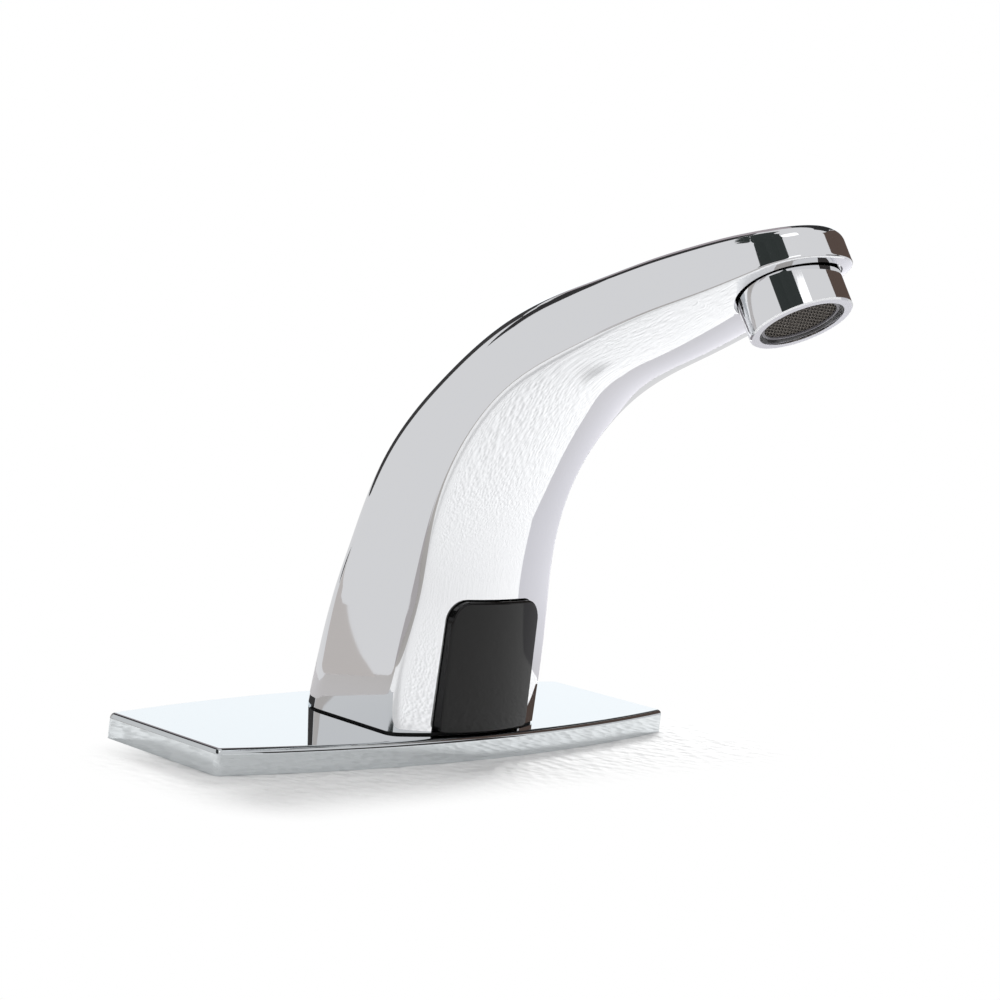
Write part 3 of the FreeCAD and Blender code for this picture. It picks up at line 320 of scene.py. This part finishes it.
def front_line(length):
    """Where the front of the casting is, and how far it has turned, after a length of it."""
    y, z = -FOOT_REACH, FOOT_LEVEL
    run = min(length, STEM_LENGTH)
    y, z = y - run * math.sin(STEM_LEAN), z + run * math.cos(STEM_LEAN)
    if length <= BEND_START_LENGTH:
        return y, z, STEM_LEAN
    turn = min(STEM_LEAN + (length - BEND_START_LENGTH) / BEND_RADIUS, BEND_END)
    y -= BEND_RADIUS * (math.cos(STEM_LEAN) - math.cos(turn))
    z += BEND_RADIUS * (math.sin(turn) - math.sin(STEM_LEAN))
    if length <= NECK_START_LENGTH:
        return y, z, turn
    turn = max(BEND_END - (length - NECK_START_LENGTH) / NECK_RADIUS, SPOUT_ANGLE)
    y -= NECK_RADIUS * (math.cos(turn) - math.cos(BEND_END))
    z += NECK_RADIUS * (math.sin(BEND_END) - math.sin(turn))
    run = max(0, length - LIP_LENGTH)
    return y - run * math.sin(SPOUT_ANGLE), z + run * math.cos(SPOUT_ANGLE), turn


def bend_length(degrees):
    return BEND_START_LENGTH + BEND_RADIUS * (math.radians(degrees) - STEM_LEAN)


def neck_length(degrees):
    return NECK_START_LENGTH + NECK_RADIUS * (BEND_END - math.radians(degrees))


# length along the front, half width at front and back, depth, radius of the crowned back
SECTIONS = [
    (0, 26.2, 25.2, 50.7, 27),
    (15, 26.2, 24.6, 48.6, 27.5),
    (30, 24.9, 22.6, 45.6, 28),
    (bend_length(1.6), 23.9, 20.6, 42, 29),
    (bend_length(18), 23.4, 20.2, 35.6, 33),
    (bend_length(34), 23.5, 20.6, 29.2, 38),
    (bend_length(50), 23.5, 21.2, 25.4, 45),
    (bend_length(62.9), 23.2, 21.5, 23.4, 52),
    (neck_length(61.5), 23.1, 21.8, 21.6, 60),
    (neck_length(59.4), 21.1, 20.5, 18.7, 66),
    (neck_length(58.2), 18.45, 18.2, 16.4, 70),
    (LIP_LENGTH, 15.75, 15.7, 13.6, 72),
    (LIP_LENGTH + 9, 13.3, 13.25, 10.4, 72),
    (LIP_LENGTH + 18, 10.9, 10.85, 7.2, 72),
]


def smooth_curve(places, values):
    """A curve through all values whose bend never jumps: a natural cubic spline."""
    n = len(places)
    gap = [places[i + 1] - places[i] for i in range(n - 1)]
    bend, left, right = [0.0] * n, [1.0] * n, [0.0] * n
    for i in range(1, n - 1):
        rise = (values[i + 1] - values[i]) / gap[i] - (values[i] - values[i - 1]) / gap[i - 1]
        pivot = 2 * (gap[i - 1] + gap[i]) - gap[i - 1] * right[i - 1]
        right[i] = gap[i] / pivot
        left[i] = (3 * rise - gap[i - 1] * left[i - 1] * (i > 1)) / pivot
    for i in range(n - 2, 0, -1):
        bend[i] = left[i] - right[i] * bend[i + 1]

    def at(place):
        i = max(0, min(n - 2, sum(p <= place for p in places) - 1))
        step = place - places[i]
        slope = (values[i + 1] - values[i]) / gap[i] - gap[i] * (2 * bend[i] + bend[i + 1]) / 3
        curl = (bend[i + 1] - bend[i]) / (3 * gap[i])
        return values[i] + step * (slope + step * (bend[i] + step * curl))

    return at


lengths = [row[0] for row in SECTIONS]
width_front, width_back, depth_of, crown_of = (
    smooth_curve(lengths, [row[k] for row in SECTIONS]) for k in (1, 2, 3, 4)
)
line_y, line_z, line_turn = (
    smooth_curve(lengths, [front_line(row[0])[k] for row in SECTIONS]) for k in (0, 1, 2)
)
print("front line", round(lengths[-1], 1), "mm, spout end at", round(line_z(LIP_LENGTH), 1), "mm")

# %% [markdown]
# ## One rounded section
# Half a section runs from the middle of the back, over the rounded shoulder, down the side,
# round the front corner and back to the middle of the front. A rounding touches both curves
# that it joins, so its centre is found by halving an interval until both distances agree.

# %% Rounded half section
BACK_STEPS, SHOULDER_STEPS, SIDE_STEPS = 14, 12, 22
CORNER_STEPS, FRONT_STEPS, MIDDLE_STEPS = 8, 10, 10
HALVINGS, NUDGE = 36, 0.01


def rounding(curve, outwards, wall, slant, radius, far):
    """Centre and touching points of a rounding between a curve and the side wall."""
    steep = math.hypot(1, slant)
    low, high = far - 4 * radius, far
    for _ in range(HALVINGS):
        reach = (low + high) / 2
        slope = (curve(reach + NUDGE) - curve(reach - NUDGE)) / (2 * NUDGE)
        size = math.hypot(1, slope)
        across = reach + outwards * radius * slope / size
        along = curve(reach) - outwards * radius / size
        if across < wall + slant * along - radius * steep:
            low = reach
        else:
            high = reach
    start = math.atan2(outwards, -slope * outwards)
    end = math.atan2(-slant, 1)
    return across, along, start, end, reach


def half_section(back, front, wall, slant, shoulder, corner, opening):
    """Points (across, deep) of half a section, from the middle of the back to the front."""
    far = wall + slant * back(wall * 0.98)
    bx, by, start, end, touch = rounding(back, 1, wall, slant, shoulder, far)
    points = [(touch * i / BACK_STEPS, back(touch * i / BACK_STEPS)) for i in range(BACK_STEPS)]
    for i in range(SHOULDER_STEPS + 1):
        angle = start + (end - start) * i / SHOULDER_STEPS
        points.append((bx + shoulder * math.cos(angle), by + shoulder * math.sin(angle)))
    far = wall + slant * front(wall * 0.98)
    fx, fy, stop, begin, touch = rounding(front, -1, wall, slant, corner, far)
    first, last = points[-1], (fx + corner * math.cos(begin), fy + corner * math.sin(begin))
    for i in range(1, SIDE_STEPS):
        part = i / SIDE_STEPS
        points.append(tuple(a + (b - a) * part for a, b in zip(first, last)))
    for i in range(CORNER_STEPS + 1):
        angle = begin + (stop - begin) * i / CORNER_STEPS
        points.append((fx + corner * math.cos(angle), fy + corner * math.sin(angle)))
    for i in range(1, FRONT_STEPS + 1):
        across = touch + (opening - touch) * i / FRONT_STEPS
        points.append((across, front(across)))
    for i in range(1, MIDDLE_STEPS + 1):
        across = opening * (1 - i / MIDDLE_STEPS)
        points.append((across, front(across)))
    return points


SPAN = BACK_STEPS + SHOULDER_STEPS + SIDE_STEPS + CORNER_STEPS + FRONT_STEPS + MIDDLE_STEPS
RIM = SPAN - MIDDLE_STEPS
print("points in half a section:", SPAN + 1)

# %% [markdown]
# ## Rows of the skin
# Rows of sections follow each other along the front line. Round the spout's end they turn
# like a fan. Two openings are left in the front: the one for the window, and the round one
# for the aerator. There the rows lie closer together, so that the openings' edges are true.

# %% Rows along the casting
RECESS_RADIUS, RECESS_DEPTH = 12.6, 2.4
THREAD_RADIUS, THREAD_TOP = 11.98, 6.56
CHAMBER_RADIUS, CHAMBER_TOP = 8, 8.96
WINDOW_GAP = 0.3
window_high = place_of("sensor_window")[1]
OPENING_HALF = window_high.x + WINDOW_GAP
OPENING_TOP = window_high.z + WINDOW_GAP
OPENING_ROUND = 5.7
FREE_HALF = OPENING_HALF - OPENING_ROUND


def front_curve(across):
    return FRONT_CROWN - math.sqrt(max(0, FRONT_CROWN**2 - across**2))


def shoulder_at(length):
    part = min(1, length / LIP_LENGTH)
    return FOOT_SHOULDER + (SPOUT_SHOULDER - FOOT_SHOULDER) * part


def corner_at(length):
    part = min(1, length / LIP_LENGTH)
    return FOOT_CORNER + (SPOUT_CORNER - FOOT_CORNER) * part


def length_at_height(z):
    return (z - FOOT_LEVEL) / math.cos(STEM_LEAN)


round_start = length_at_height(OPENING_TOP - OPENING_ROUND)
window_end = length_at_height(OPENING_TOP)
recess_start = LIP_LENGTH - RECESS_RADIUS
STRIP_START = BEND_START_LENGTH + 10


def opening_at(length):
    """Half width of the opening in the front, or of the middle strip where there is none."""
    if length <= window_end:
        over = max(0, length - round_start)
        return FREE_HALF + math.sqrt(max(0, OPENING_ROUND**2 - over**2))
    if length >= recess_start:
        return math.sqrt(max(0, RECESS_RADIUS**2 - (length - LIP_LENGTH) ** 2))
    part = min(1, max(0, (length - STRIP_START) / (recess_start - STRIP_START)))
    return FREE_HALF * (1 - part * part * (3 - 2 * part))


def straight_row(length):
    """A section square to the front line, as points in the casting's own place."""
    half_front, half_back = width_front(length), width_back(length)
    depth, crown = depth_of(length), crown_of(length)
    centre = depth - crown

    def back(across):
        return centre + math.sqrt(max(0, crown**2 - across**2))

    front_edge, back_edge = front_curve(half_front), back(half_back)
    slant = (half_back - half_front) / (back_edge - front_edge)
    wall = half_front - slant * front_edge
    flat = half_section(
        back, front_curve, wall, slant, shoulder_at(length), corner_at(length), opening_at(length)
    )
    y, z, turn = line_y(length), line_z(length), line_turn(length)
    # The foot stands level on its gasket, and the sections above it tilt bit by bit.
    if length < lengths[1]:
        turn *= length / lengths[1]
    return [Vector((x, y + v * math.cos(turn), z + v * math.sin(turn))) for x, v in flat]


spout_axis = Vector((0, math.cos(SPOUT_ANGLE), math.sin(SPOUT_ANGLE)))
spout_ahead = Vector((0, -math.sin(SPOUT_ANGLE), math.cos(SPOUT_ANGLE)))
lip_place = Vector((0, *front_line(LIP_LENGTH)[:2]))
# The sides run on into the round nose without a kink: the fan turns about a place whose
# radius to the side is square to the side's own taper.
TAPER_PLACE = LIP_LENGTH + 4
taper = width_front(TAPER_PLACE - 0.5) - width_front(TAPER_PLACE + 0.5)
FAN_START = width_front(TAPER_PLACE) * taper
NOSE_RADIUS = math.hypot(width_front(LIP_LENGTH + FAN_START), FAN_START)


def fan_row(angle):
    """A section of the round nose along a ray that turns about the fan's start."""
    cos, sin = math.cos(angle), math.sin(angle)

    def reach(radius):
        return -FAN_START * sin + math.sqrt(radius**2 - (FAN_START * cos) ** 2)

    def back(out):
        length = LIP_LENGTH + FAN_START + out * sin
        crown = crown_of(length)
        return depth_of(length) - crown + math.sqrt(crown**2 - (out * cos) ** 2)

    def front(out):
        return front_curve(out * cos)

    flat = half_section(
        back, front, reach(NOSE_RADIUS), 0, SPOUT_SHOULDER, SPOUT_CORNER, reach(RECESS_RADIUS)
    )
    base = lip_place + spout_ahead * FAN_START
    return [
        base + Vector((out * cos, 0, 0)) + spout_ahead * (out * sin) + spout_axis * up
        for out, up in flat
    ]


def stretch(start, end, step):
    count = max(1, round((end - start) / step))
    return [start + (end - start) * i / count for i in range(count)]


FOOT_ROW_STEP, BEND_ROW_STEP, ROW_GAP = 1.0, 0.8, 0.3
ROUND_ROWS, RECESS_ROWS, FAN_ROWS = 18, 36, 30
row_lengths = stretch(0, round_start, FOOT_ROW_STEP)
row_lengths += [
    round_start + (window_end - round_start) * math.sin(math.pi / 2 * i / ROUND_ROWS)
    for i in range(ROUND_ROWS + 1)
]
row_lengths += stretch(window_end + ROW_GAP, recess_start, BEND_ROW_STEP)
fan_angle = math.acos(-FAN_START / RECESS_RADIUS)
row_lengths += [
    LIP_LENGTH - RECESS_RADIUS * math.cos(fan_angle * i / RECESS_ROWS)
    for i in range(RECESS_ROWS + 1)
]
rows = [straight_row(length) for length in row_lengths]
rows += [fan_row(math.pi / 2 * i / FAN_ROWS) for i in range(1, FAN_ROWS + 1)]
print("rows:", len(rows), "of which in the fan:", FAN_ROWS)

# %% [markdown]
# ## From rows to a mesh
# Each row is mirrored to the other half, and neighbouring rows are joined by quads. Where
# an opening is, the quads of the middle strip are left out, and the opening's edge is
# drawn inwards as a wall. Last come the hollow for the aerator and the foot's flat base.

# %% Mesh of the casting
WINDOW_DEPTH = 4.0
SAME_PLACE = 1e-7
window_rows = sum(length < window_end - 0.001 for length in row_lengths)
recess_row = len(row_lengths) - RECESS_ROWS - 1
net = bmesh.new()
grid = []
for row in rows:
    right_half = [net.verts.new(p * MM) for p in row]
    left_half = [net.verts.new(Vector((-p.x, p.y, p.z)) * MM) for p in row]
    grid.append((right_half, left_half))


def quad(*corners):
    """Add a face, leaving out corners that fall together."""
    kept = []
    for corner in corners:
        if all((corner.co - other.co).length > SAME_PLACE for other in kept):
            kept.append(corner)
    if len(kept) > 2:
        net.faces.new(kept)


for index in range(len(rows) - 1):
    open_here = index < window_rows or index >= recess_row
    for column in range(SPAN):
        if open_here and column >= RIM:
            continue
        for side in (0, 1):
            a, b = grid[index][side][column], grid[index][side][column + 1]
            c, d = grid[index + 1][side][column + 1], grid[index + 1][side][column]
            quad(*((a, b, c, d) if side else (d, c, b, a)))
print("quads of the outside:", len(net.faces))


def edge_loop(points, depths):
    """Draw an opening's edge inwards: each depth moves every point by its own rule."""
    rings = [[net.verts.new(p * MM) for p in points]]
    for move in depths:
        rings.append([net.verts.new(move(p) * MM) for p in points])
    for near, deep in zip(rings, rings[1:]):
        for i in range(len(points) - 1):
            quad(near[i], near[i + 1], deep[i + 1], deep[i])


def mirrored(points):
    return [Vector((-p.x, p.y, p.z)) for p in points]


window_edge = [rows[i][RIM] for i in range(window_rows + 1)]
window_edge += mirrored(window_edge[::-1])
edge_loop(window_edge, [lambda p: p + Vector((0, WINDOW_DEPTH, 0))])

recess_edge = [rows[i][RIM] for i in range(recess_row, len(rows))]
recess_edge += mirrored(recess_edge[::-1])


def in_recess(radius, height):
    """A rule that takes a point of the recess's edge to a radius and a height on its axis."""

    def move(p):
        out = p - lip_place
        out -= spout_axis * out.dot(spout_axis)
        return lip_place + out.normalized() * radius + spout_axis * height

    return move


edge_loop(
    recess_edge,
    [
        in_recess(RECESS_RADIUS, RECESS_DEPTH),
        in_recess(THREAD_RADIUS, RECESS_DEPTH),
        in_recess(THREAD_RADIUS, THREAD_TOP),
        in_recess(CHAMBER_RADIUS, THREAD_TOP),
        in_recess(CHAMBER_RADIUS, CHAMBER_TOP),
        in_recess(0.1, CHAMBER_TOP),
    ],
)
foot_ring = rows[0][: RIM + 1] + [rows[0][RIM] + Vector((0, WINDOW_DEPTH, 0))]
foot_points = foot_ring + mirrored(foot_ring[::-1])
net.faces.new([net.verts.new(p * MM) for p in foot_points[:-1]])
bmesh.ops.delete(net, geom=[v for v in net.verts if not v.link_faces], context="VERTS")
bmesh.ops.remove_doubles(net, verts=net.verts, dist=SAME_PLACE)
bmesh.ops.recalc_face_normals(net, faces=net.faces)

skin_mesh = bpy.data.meshes.new("casting_skin")
net.to_mesh(skin_mesh)
net.free()
for face in skin_mesh.polygons:
    face.use_smooth = True
skin_mesh.set_sharp_from_angle(angle=math.radians(40))
skin_mesh.materials.append(chrome_casting)
casting_skin = bpy.data.objects.new("casting_skin", skin_mesh)
bpy.context.collection.objects.link(casting_skin)
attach(casting_skin, "tap")
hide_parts("spout_body")
print("skin faces:", len(skin_mesh.polygons))

# %% [markdown]
# ## Woven mesh
# The aerator's outlet is covered by a disc of woven steel wire, which breaks the stream into
# fine bubbles. Wires of two families cross at a right angle, and each passes over one wire
# and under the next. The weave is drawn wire by wire because it shows in the photo.

# %% Weave the aerator's mesh
WIRE_PITCH, WIRE_RADIUS, WEAVE_RADIUS = 0.85, 0.14, 9.0
WIRE_SIDES, STEPS_PER_PITCH = 5, 4
WIRES = int(WEAVE_RADIUS / WIRE_PITCH)
mesh_low, mesh_high = place_of("aerator_mesh")
mesh_centre = (mesh_low + mesh_high) / 2
across_one = (Vector((1, 0, 0)) + spout_ahead).normalized()
across_two = (Vector((1, 0, 0)) - spout_ahead).normalized()
weave_points, weave_faces = [], []


def add_ring(centre, across):
    """The points round a wire at one place of it."""
    for side in range(WIRE_SIDES):
        turn = 2 * math.pi * side / WIRE_SIDES
        ring = across * math.cos(turn) + spout_axis * math.sin(turn)
        weave_points.append(centre + ring * WIRE_RADIUS)


def join_last_rings():
    last = len(weave_points) - 2 * WIRE_SIDES
    for side in range(WIRE_SIDES):
        a, b = last + side, last + (side + 1) % WIRE_SIDES
        weave_faces.append((a, b, b + WIRE_SIDES, a + WIRE_SIDES))


def add_wire(along, across, number, start):
    """One wire of the disc, which waves over and under the wires that it crosses."""
    half = math.sqrt(WEAVE_RADIUS**2 - (number * WIRE_PITCH) ** 2)
    count = max(2, round(2 * half * STEPS_PER_PITCH / WIRE_PITCH))
    for k in range(count + 1):
        t = -half + 2 * half * k / count
        lift = WIRE_RADIUS * math.cos(math.pi * (t / WIRE_PITCH + number + start))
        add_ring(
            mesh_centre + along * t + across * number * WIRE_PITCH + spout_axis * lift, across
        )
        if k:
            join_last_rings()


for number in range(-WIRES, WIRES + 1):
    add_wire(across_one, across_two, number, 0)
for number in range(-WIRES, WIRES + 1):
    add_wire(across_two, across_one, number, 1)
weave = bpy.data.meshes.new("woven_mesh")
weave.from_pydata([tuple(point * MM) for point in weave_points], [], weave_faces)
for face in weave.polygons:
    face.use_smooth = True
weave.materials.append(mesh_steel)
woven_mesh = bpy.data.objects.new("woven_mesh", weave)
bpy.context.collection.objects.link(woven_mesh)
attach(woven_mesh, "aerator")
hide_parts("aerator_mesh")
print("mesh wires:", 2 * (2 * WIRES + 1), "faces:", len(weave.polygons))

# %% [markdown]
# ## The studio
# Chrome shows nothing but what stands around it, so the room matters more than the metal.
# The tap stands on a white foam board, which lies on a darker table in a light room. Wall
# cards that only reflections see stand in for the room: black flags give the metal its
# dark lines, and a softbox in front of the spout's end gives it its highlight. Every card
# is placed by its direction from the tap: degrees to the right of the camera's heading,
# and degrees above the horizon.

# %% Stage cards
ROOM_RADIUS = 12000
CARD_STEPS = 4
heading = Vector((math.sin(CAMERA_YAW), math.cos(CAMERA_YAW), 0))


def direction(azimuth, elevation):
    """The unit vector to a place in the room, seen from the tap."""
    azimuth, elevation = math.radians(azimuth), math.radians(elevation)
    level = heading * math.cos(azimuth) + level_right * math.sin(azimuth)
    return level * math.cos(elevation) + Vector((0, 0, math.sin(elevation)))


def stage_mesh(name, points, faces, finish):
    """A mesh of the stage from points in millimetres."""
    mesh = bpy.data.meshes.new(name)
    mesh.from_pydata([Vector(p) * MM for p in points], [], faces)
    mesh.materials.append(finish)
    stage = bpy.data.objects.new(name, mesh)
    bpy.context.collection.objects.link(stage)
    return stage


def reflected_only(card):
    """Leave a card out of what the camera sees and out of the light on matte surfaces."""
    card.visible_camera = False
    card.visible_diffuse = False
    card.visible_shadow = False


def glow(name, tone, strength=1.0):
    """A material that shines by itself, so that no other light changes its tone."""
    material, tree, shader = new_material(name)
    shader.inputs["Base Color"].default_value = (0, 0, 0, 1)
    shader.inputs["Emission Color"].default_value = colour(tone)
    shader.inputs["Emission Strength"].default_value = strength
    return material


def between(start, end, part):
    return tuple(a + (b - a) * part for a, b in zip(start, end))


def wall_card(name, edges, tone, strength=1.0):
    """A card on the far wall. Each edge has an azimuth, a foot and a top, in degrees."""
    rows = [
        between(start, end, i / CARD_STEPS)
        for start, end in zip(edges, edges[1:])
        for i in range(CARD_STEPS)
    ]
    rows.append(edges[-1])
    points = [
        direction(turn, low + (high - low) * k / CARD_STEPS) * ROOM_RADIUS
        for turn, low, high in rows
        for k in range(CARD_STEPS + 1)
    ]
    row = CARD_STEPS + 1
    faces = [
        (row * i + k, row * i + k + 1, row * i + k + row + 1, row * i + k + row)
        for i in range(len(rows) - 1)
        for k in range(CARD_STEPS)
    ]
    reflected_only(stage_mesh(name, points, faces, glow(name, tone, strength)))


def standing_card(name, azimuth, distance, edges, tone):
    """A card on the table near the tap: (across, height) in mm along its upper edge."""
    out = direction(azimuth, 0)
    along = Vector((out.y, -out.x, 0))
    points = [
        out * distance + along * across + Vector((0, 0, z))
        for across, height in edges
        for z in (0, height)
    ]
    faces = [(2 * i, 2 * i + 2, 2 * i + 3, 2 * i + 1) for i in range(len(edges) - 1)]
    reflected_only(stage_mesh(name, points, faces, glow(name, tone)))


print("room radius", ROOM_RADIUS / 1000, "m")

# %% Cards in front of the tap, which its nose and its ring show
wall_card(
    "dark_room",
    [
        (-173, 14, 47),
        (-160, 14, 60),
        (-145, 14, 72),
        (-129, 14, 72),
        (-127, 22, 72),
        (-115, 34, 72),
        (-105, 43, 74),
        (-90, 50, 76),
        (-73, 54, 78),
        (-50, 54, 78),
    ],
    "#1A2220",
)
wall_card(
    "low_softbox",
    [(-197, 40, 49.6), (-188, 38, 47.5), (-180, 36, 45.1), (-173, 33, 42.2)],
    "#FFFFFF",
    1.3,
)
wall_card(
    "high_softbox",
    [(-212, 56, 70), (-205, 54.5, 72), (-188, 50.5, 70), (-173, 48, 66), (-165, 45, 62)],
    "#FFFFFF",
    1.3,
)
wall_card(
    "brown_door",
    [(18, 0, 20), (35, 2, 36), (50, 8, 42), (66, 15, 45), (80, 25, 48)],
    "#4E3E36",
)
wall_card("dark_gap", [(80, -3, 24), (95, -3, 20), (112, -3, 20)], "#241F1D")

# %% Cards behind and beside the tap, which its outline, sides and plate show
wall_card("back_screen", [(-14, -1, 17), (14, -1, 17)], "#F7FBFE", 1.16)
wall_card(
    "black_flag_above",
    [(1, 17.5, 58), (18, 20.5, 60), (34, 37, 60), (60, 44, 62)],
    "#0E0E10",
)
wall_card(
    "black_flag_on_edge",
    [(-76, 11, 16), (-70, 15, 22), (-63, 20, 28), (-55, 24, 33), (-46, 27, 36), (-40, 27, 38)],
    "#1C1A1B",
)
wall_card(
    "black_flag_high",
    [(-60, 48, 53.8), (-52, 36, 53.8), (-40, 28, 54), (-28, 27, 52)],
    "#1C1A1B",
)
wall_card("black_flag_low", [(-52, 1.5, 25), (-36, 1.0, 26), (-17, 0.5, 22)], "#2A2828")
wall_card("pale_ceiling", [(-28, 25, 60), (-14, 22, 60), (1, 17.5, 60)], "#A39A9E")
standing_card(
    "box_beside_tap",
    -86,
    145,
    [(-31, 1), (-26, 12), (-15, 40), (0, 50), (60, 52)],
    "#BDB8B5",
)
wall_card("left_skirting", [(-195, -7, 1.5), (-150, -7, 1.2), (-104, -7, 0.8)], "#A9A5A6")

# %% [markdown]
# ## Foam board
# The foam board is pressed from beads about 3 mm across, and its relief shows in the
# plate's front. Close to the plate the camera sees its real shading with the plate's
# shadow. Further off the board fades into the white of the background.

# %% Foam board
BOARD_LEVEL = -0.05
BEAD_MM, BEAD_DEPTH = 3.2, 0.9
FADE_CENTRE, FADE_DEPTH, FADE_LENGTH = 22, 14, 26


def white_for_camera(tree, surface, share=None):
    """Let the camera see pure white instead of a surface, wholly or by a share."""
    path = add(tree, "ShaderNodeLightPath")
    factor = path.outputs["Is Camera Ray"]
    if share is not None:
        factor = add(tree, "ShaderNodeMath", {"operation": "MULTIPLY"}, i0=factor, i1=share)
        factor = factor.outputs[0]
    white = add(tree, "ShaderNodeEmission", Color=(1, 1, 1, 1), Strength=1.0)
    both = add(
        tree, "ShaderNodeMixShader", i0=factor, i1=surface, i2=white.outputs["Emission"]
    )
    output = next(node for node in tree.nodes if node.type == "OUTPUT_MATERIAL")
    tree.links.new(both.outputs["Shader"], output.inputs["Surface"])


def flat_sheet(name, outline, level, finish):
    points = [(x, y, level) for x, y in outline]
    stage_mesh(name, points, [tuple(range(len(points)))], finish)


foam_board, tree, shader = new_material("white_foam_board")
shader.inputs["Base Color"].default_value = colour("#F4F4F4")
shader.inputs["Roughness"].default_value = 0.9
place = add(tree, "ShaderNodeTexCoord")
beads = add(
    tree,
    "ShaderNodeTexVoronoi",
    {"feature": "SMOOTH_F1"},
    Vector=place.outputs["Object"],
    Scale=1 / (BEAD_MM * MM),
    Smoothness=0.4,
)
finish_bump(tree, shader, beads.outputs["Distance"], BEAD_DEPTH)
shifted = add(
    tree,
    "ShaderNodeVectorMath",
    {"operation": "ADD"},
    i0=place.outputs["Object"],
    i1=(0, FADE_CENTRE * MM, 0),
)
away = add(tree, "ShaderNodeVectorMath", {"operation": "ABSOLUTE"}, i0=shifted.outputs[0])
beyond = add(
    tree,
    "ShaderNodeVectorMath",
    {"operation": "SUBTRACT"},
    i0=away.outputs[0],
    i1=(plate_high.x * MM, FADE_DEPTH * MM, 1),
)
outside = add(
    tree, "ShaderNodeVectorMath", {"operation": "MAXIMUM"}, i0=beyond.outputs[0], i1=(0, 0, 0)
)
distance = add(tree, "ShaderNodeVectorMath", {"operation": "LENGTH"}, i0=outside.outputs[0])
fade = add(
    tree,
    "ShaderNodeMapRange",
    {"interpolation_type": "SMOOTHSTEP"},
    Value=distance.outputs["Value"],
    From__Min=0.0,
    From__Max=FADE_LENGTH * MM,
)
white_for_camera(tree, shader.outputs["BSDF"], fade.outputs["Result"])
flat_sheet(
    "foam_board",
    [
        (-230, 45),
        (-230, -450),
        (420, -450),
        (420, -270),
        (228, -140),
        (165, -96),
        (118, -10),
        (110, 45),
    ],
    BOARD_LEVEL,
    foam_board,
)
print("board made at", BOARD_LEVEL, "mm")

# %% [markdown]
# ## Table
# Past the board's slanted right edge and behind it, the chrome shows a painted wooden
# table. It is a warm grey on the left and a cooler one on the right, and it ends a hand's
# width behind the tap, where the sides of the foot show the light wall again.

# %% Table
TABLE_LEVEL = -1
TABLE_GRAIN_MM = 60
TABLE_TONE_REACH = 200

table_top, tree, shader = new_material("table_top")
place = add(tree, "ShaderNodeTexCoord")
grain = add(
    tree,
    "ShaderNodeTexNoise",
    Vector=place.outputs["Object"],
    Scale=1 / (TABLE_GRAIN_MM * MM),
)
axes = add(tree, "ShaderNodeSeparateXYZ", Vector=place.outputs["Object"])
side = add(
    tree,
    "ShaderNodeMapRange",
    Value=axes.outputs["X"],
    From__Min=-TABLE_TONE_REACH * MM,
    From__Max=TABLE_TONE_REACH * MM,
)
tone = add(
    tree,
    "ShaderNodeMix",
    {"data_type": "RGBA"},
    Factor=side.outputs["Result"],
    i6=colour("#B4B0AC"),
    i7=colour("#C2C1C6"),
)
tree.links.new(tone.outputs[2], shader.inputs["Base Color"])
shader.inputs["Roughness"].default_value = 0.8
finish_bump(tree, shader, grain.outputs["Fac"], 0.5)
white_for_camera(tree, shader.outputs["BSDF"])
flat_sheet(
    "table", [(-900, 112), (-900, -900), (700, -900), (700, 112)], TABLE_LEVEL, table_top
)
print("table made at", TABLE_LEVEL, "mm")

# %% [markdown]
# ## Room light
# Matte surfaces are lit by an even white room and by one softbox behind the tap's right,
# which throws a soft shadow to the left. The camera sees the room as pure white, and a
# mirror sees it as the pale grey of a painted wall.

# %% World and lamp
world = bpy.data.worlds.new("white_room")
bpy.context.scene.world = world
world.use_nodes = True
tree = world.node_tree
tree.nodes.clear()
path = add(tree, "ShaderNodeLightPath")
wall_paint = add(tree, "ShaderNodeBackground", Color=colour("#DCDCDD"), Strength=1.0)
daylight = add(tree, "ShaderNodeBackground", Color=(1, 1, 1, 1), Strength=0.78)
seen = add(tree, "ShaderNodeBackground", Color=(1, 1, 1, 1), Strength=1.0)
inside = add(
    tree,
    "ShaderNodeMixShader",
    i0=path.outputs["Is Glossy Ray"],
    i1=daylight.outputs["Background"],
    i2=wall_paint.outputs["Background"],
)
both = add(
    tree,
    "ShaderNodeMixShader",
    i0=path.outputs["Is Camera Ray"],
    i1=inside.outputs["Shader"],
    i2=seen.outputs["Background"],
)
add(tree, "ShaderNodeOutputWorld", Surface=both.outputs["Shader"])


def softbox(name, place, aim, width, height, power):
    """A rectangular lamp in millimetres that shines at a point."""
    data = bpy.data.lights.new(name, "AREA")
    data.shape = "RECTANGLE"
    data.size = width * MM
    data.size_y = height * MM
    data.energy = power
    lamp = bpy.data.objects.new(name, data)
    bpy.context.collection.objects.link(lamp)
    lamp.location = Vector(place) * MM
    lamp.rotation_euler = (Vector(aim) - Vector(place)).to_track_quat("-Z", "Y").to_euler()
    lamp.visible_camera = False
    lamp.visible_glossy = False


softbox("softbox_right", (700, 420, 420), (-40, -20, 0), 300, 200, 7.5)

# %% [markdown]
# ## Picture settings
# The picture is shown with plain sRGB tones, because white has to stay white.

# %% View settings
bpy.context.scene.view_settings.view_transform = "Standard"
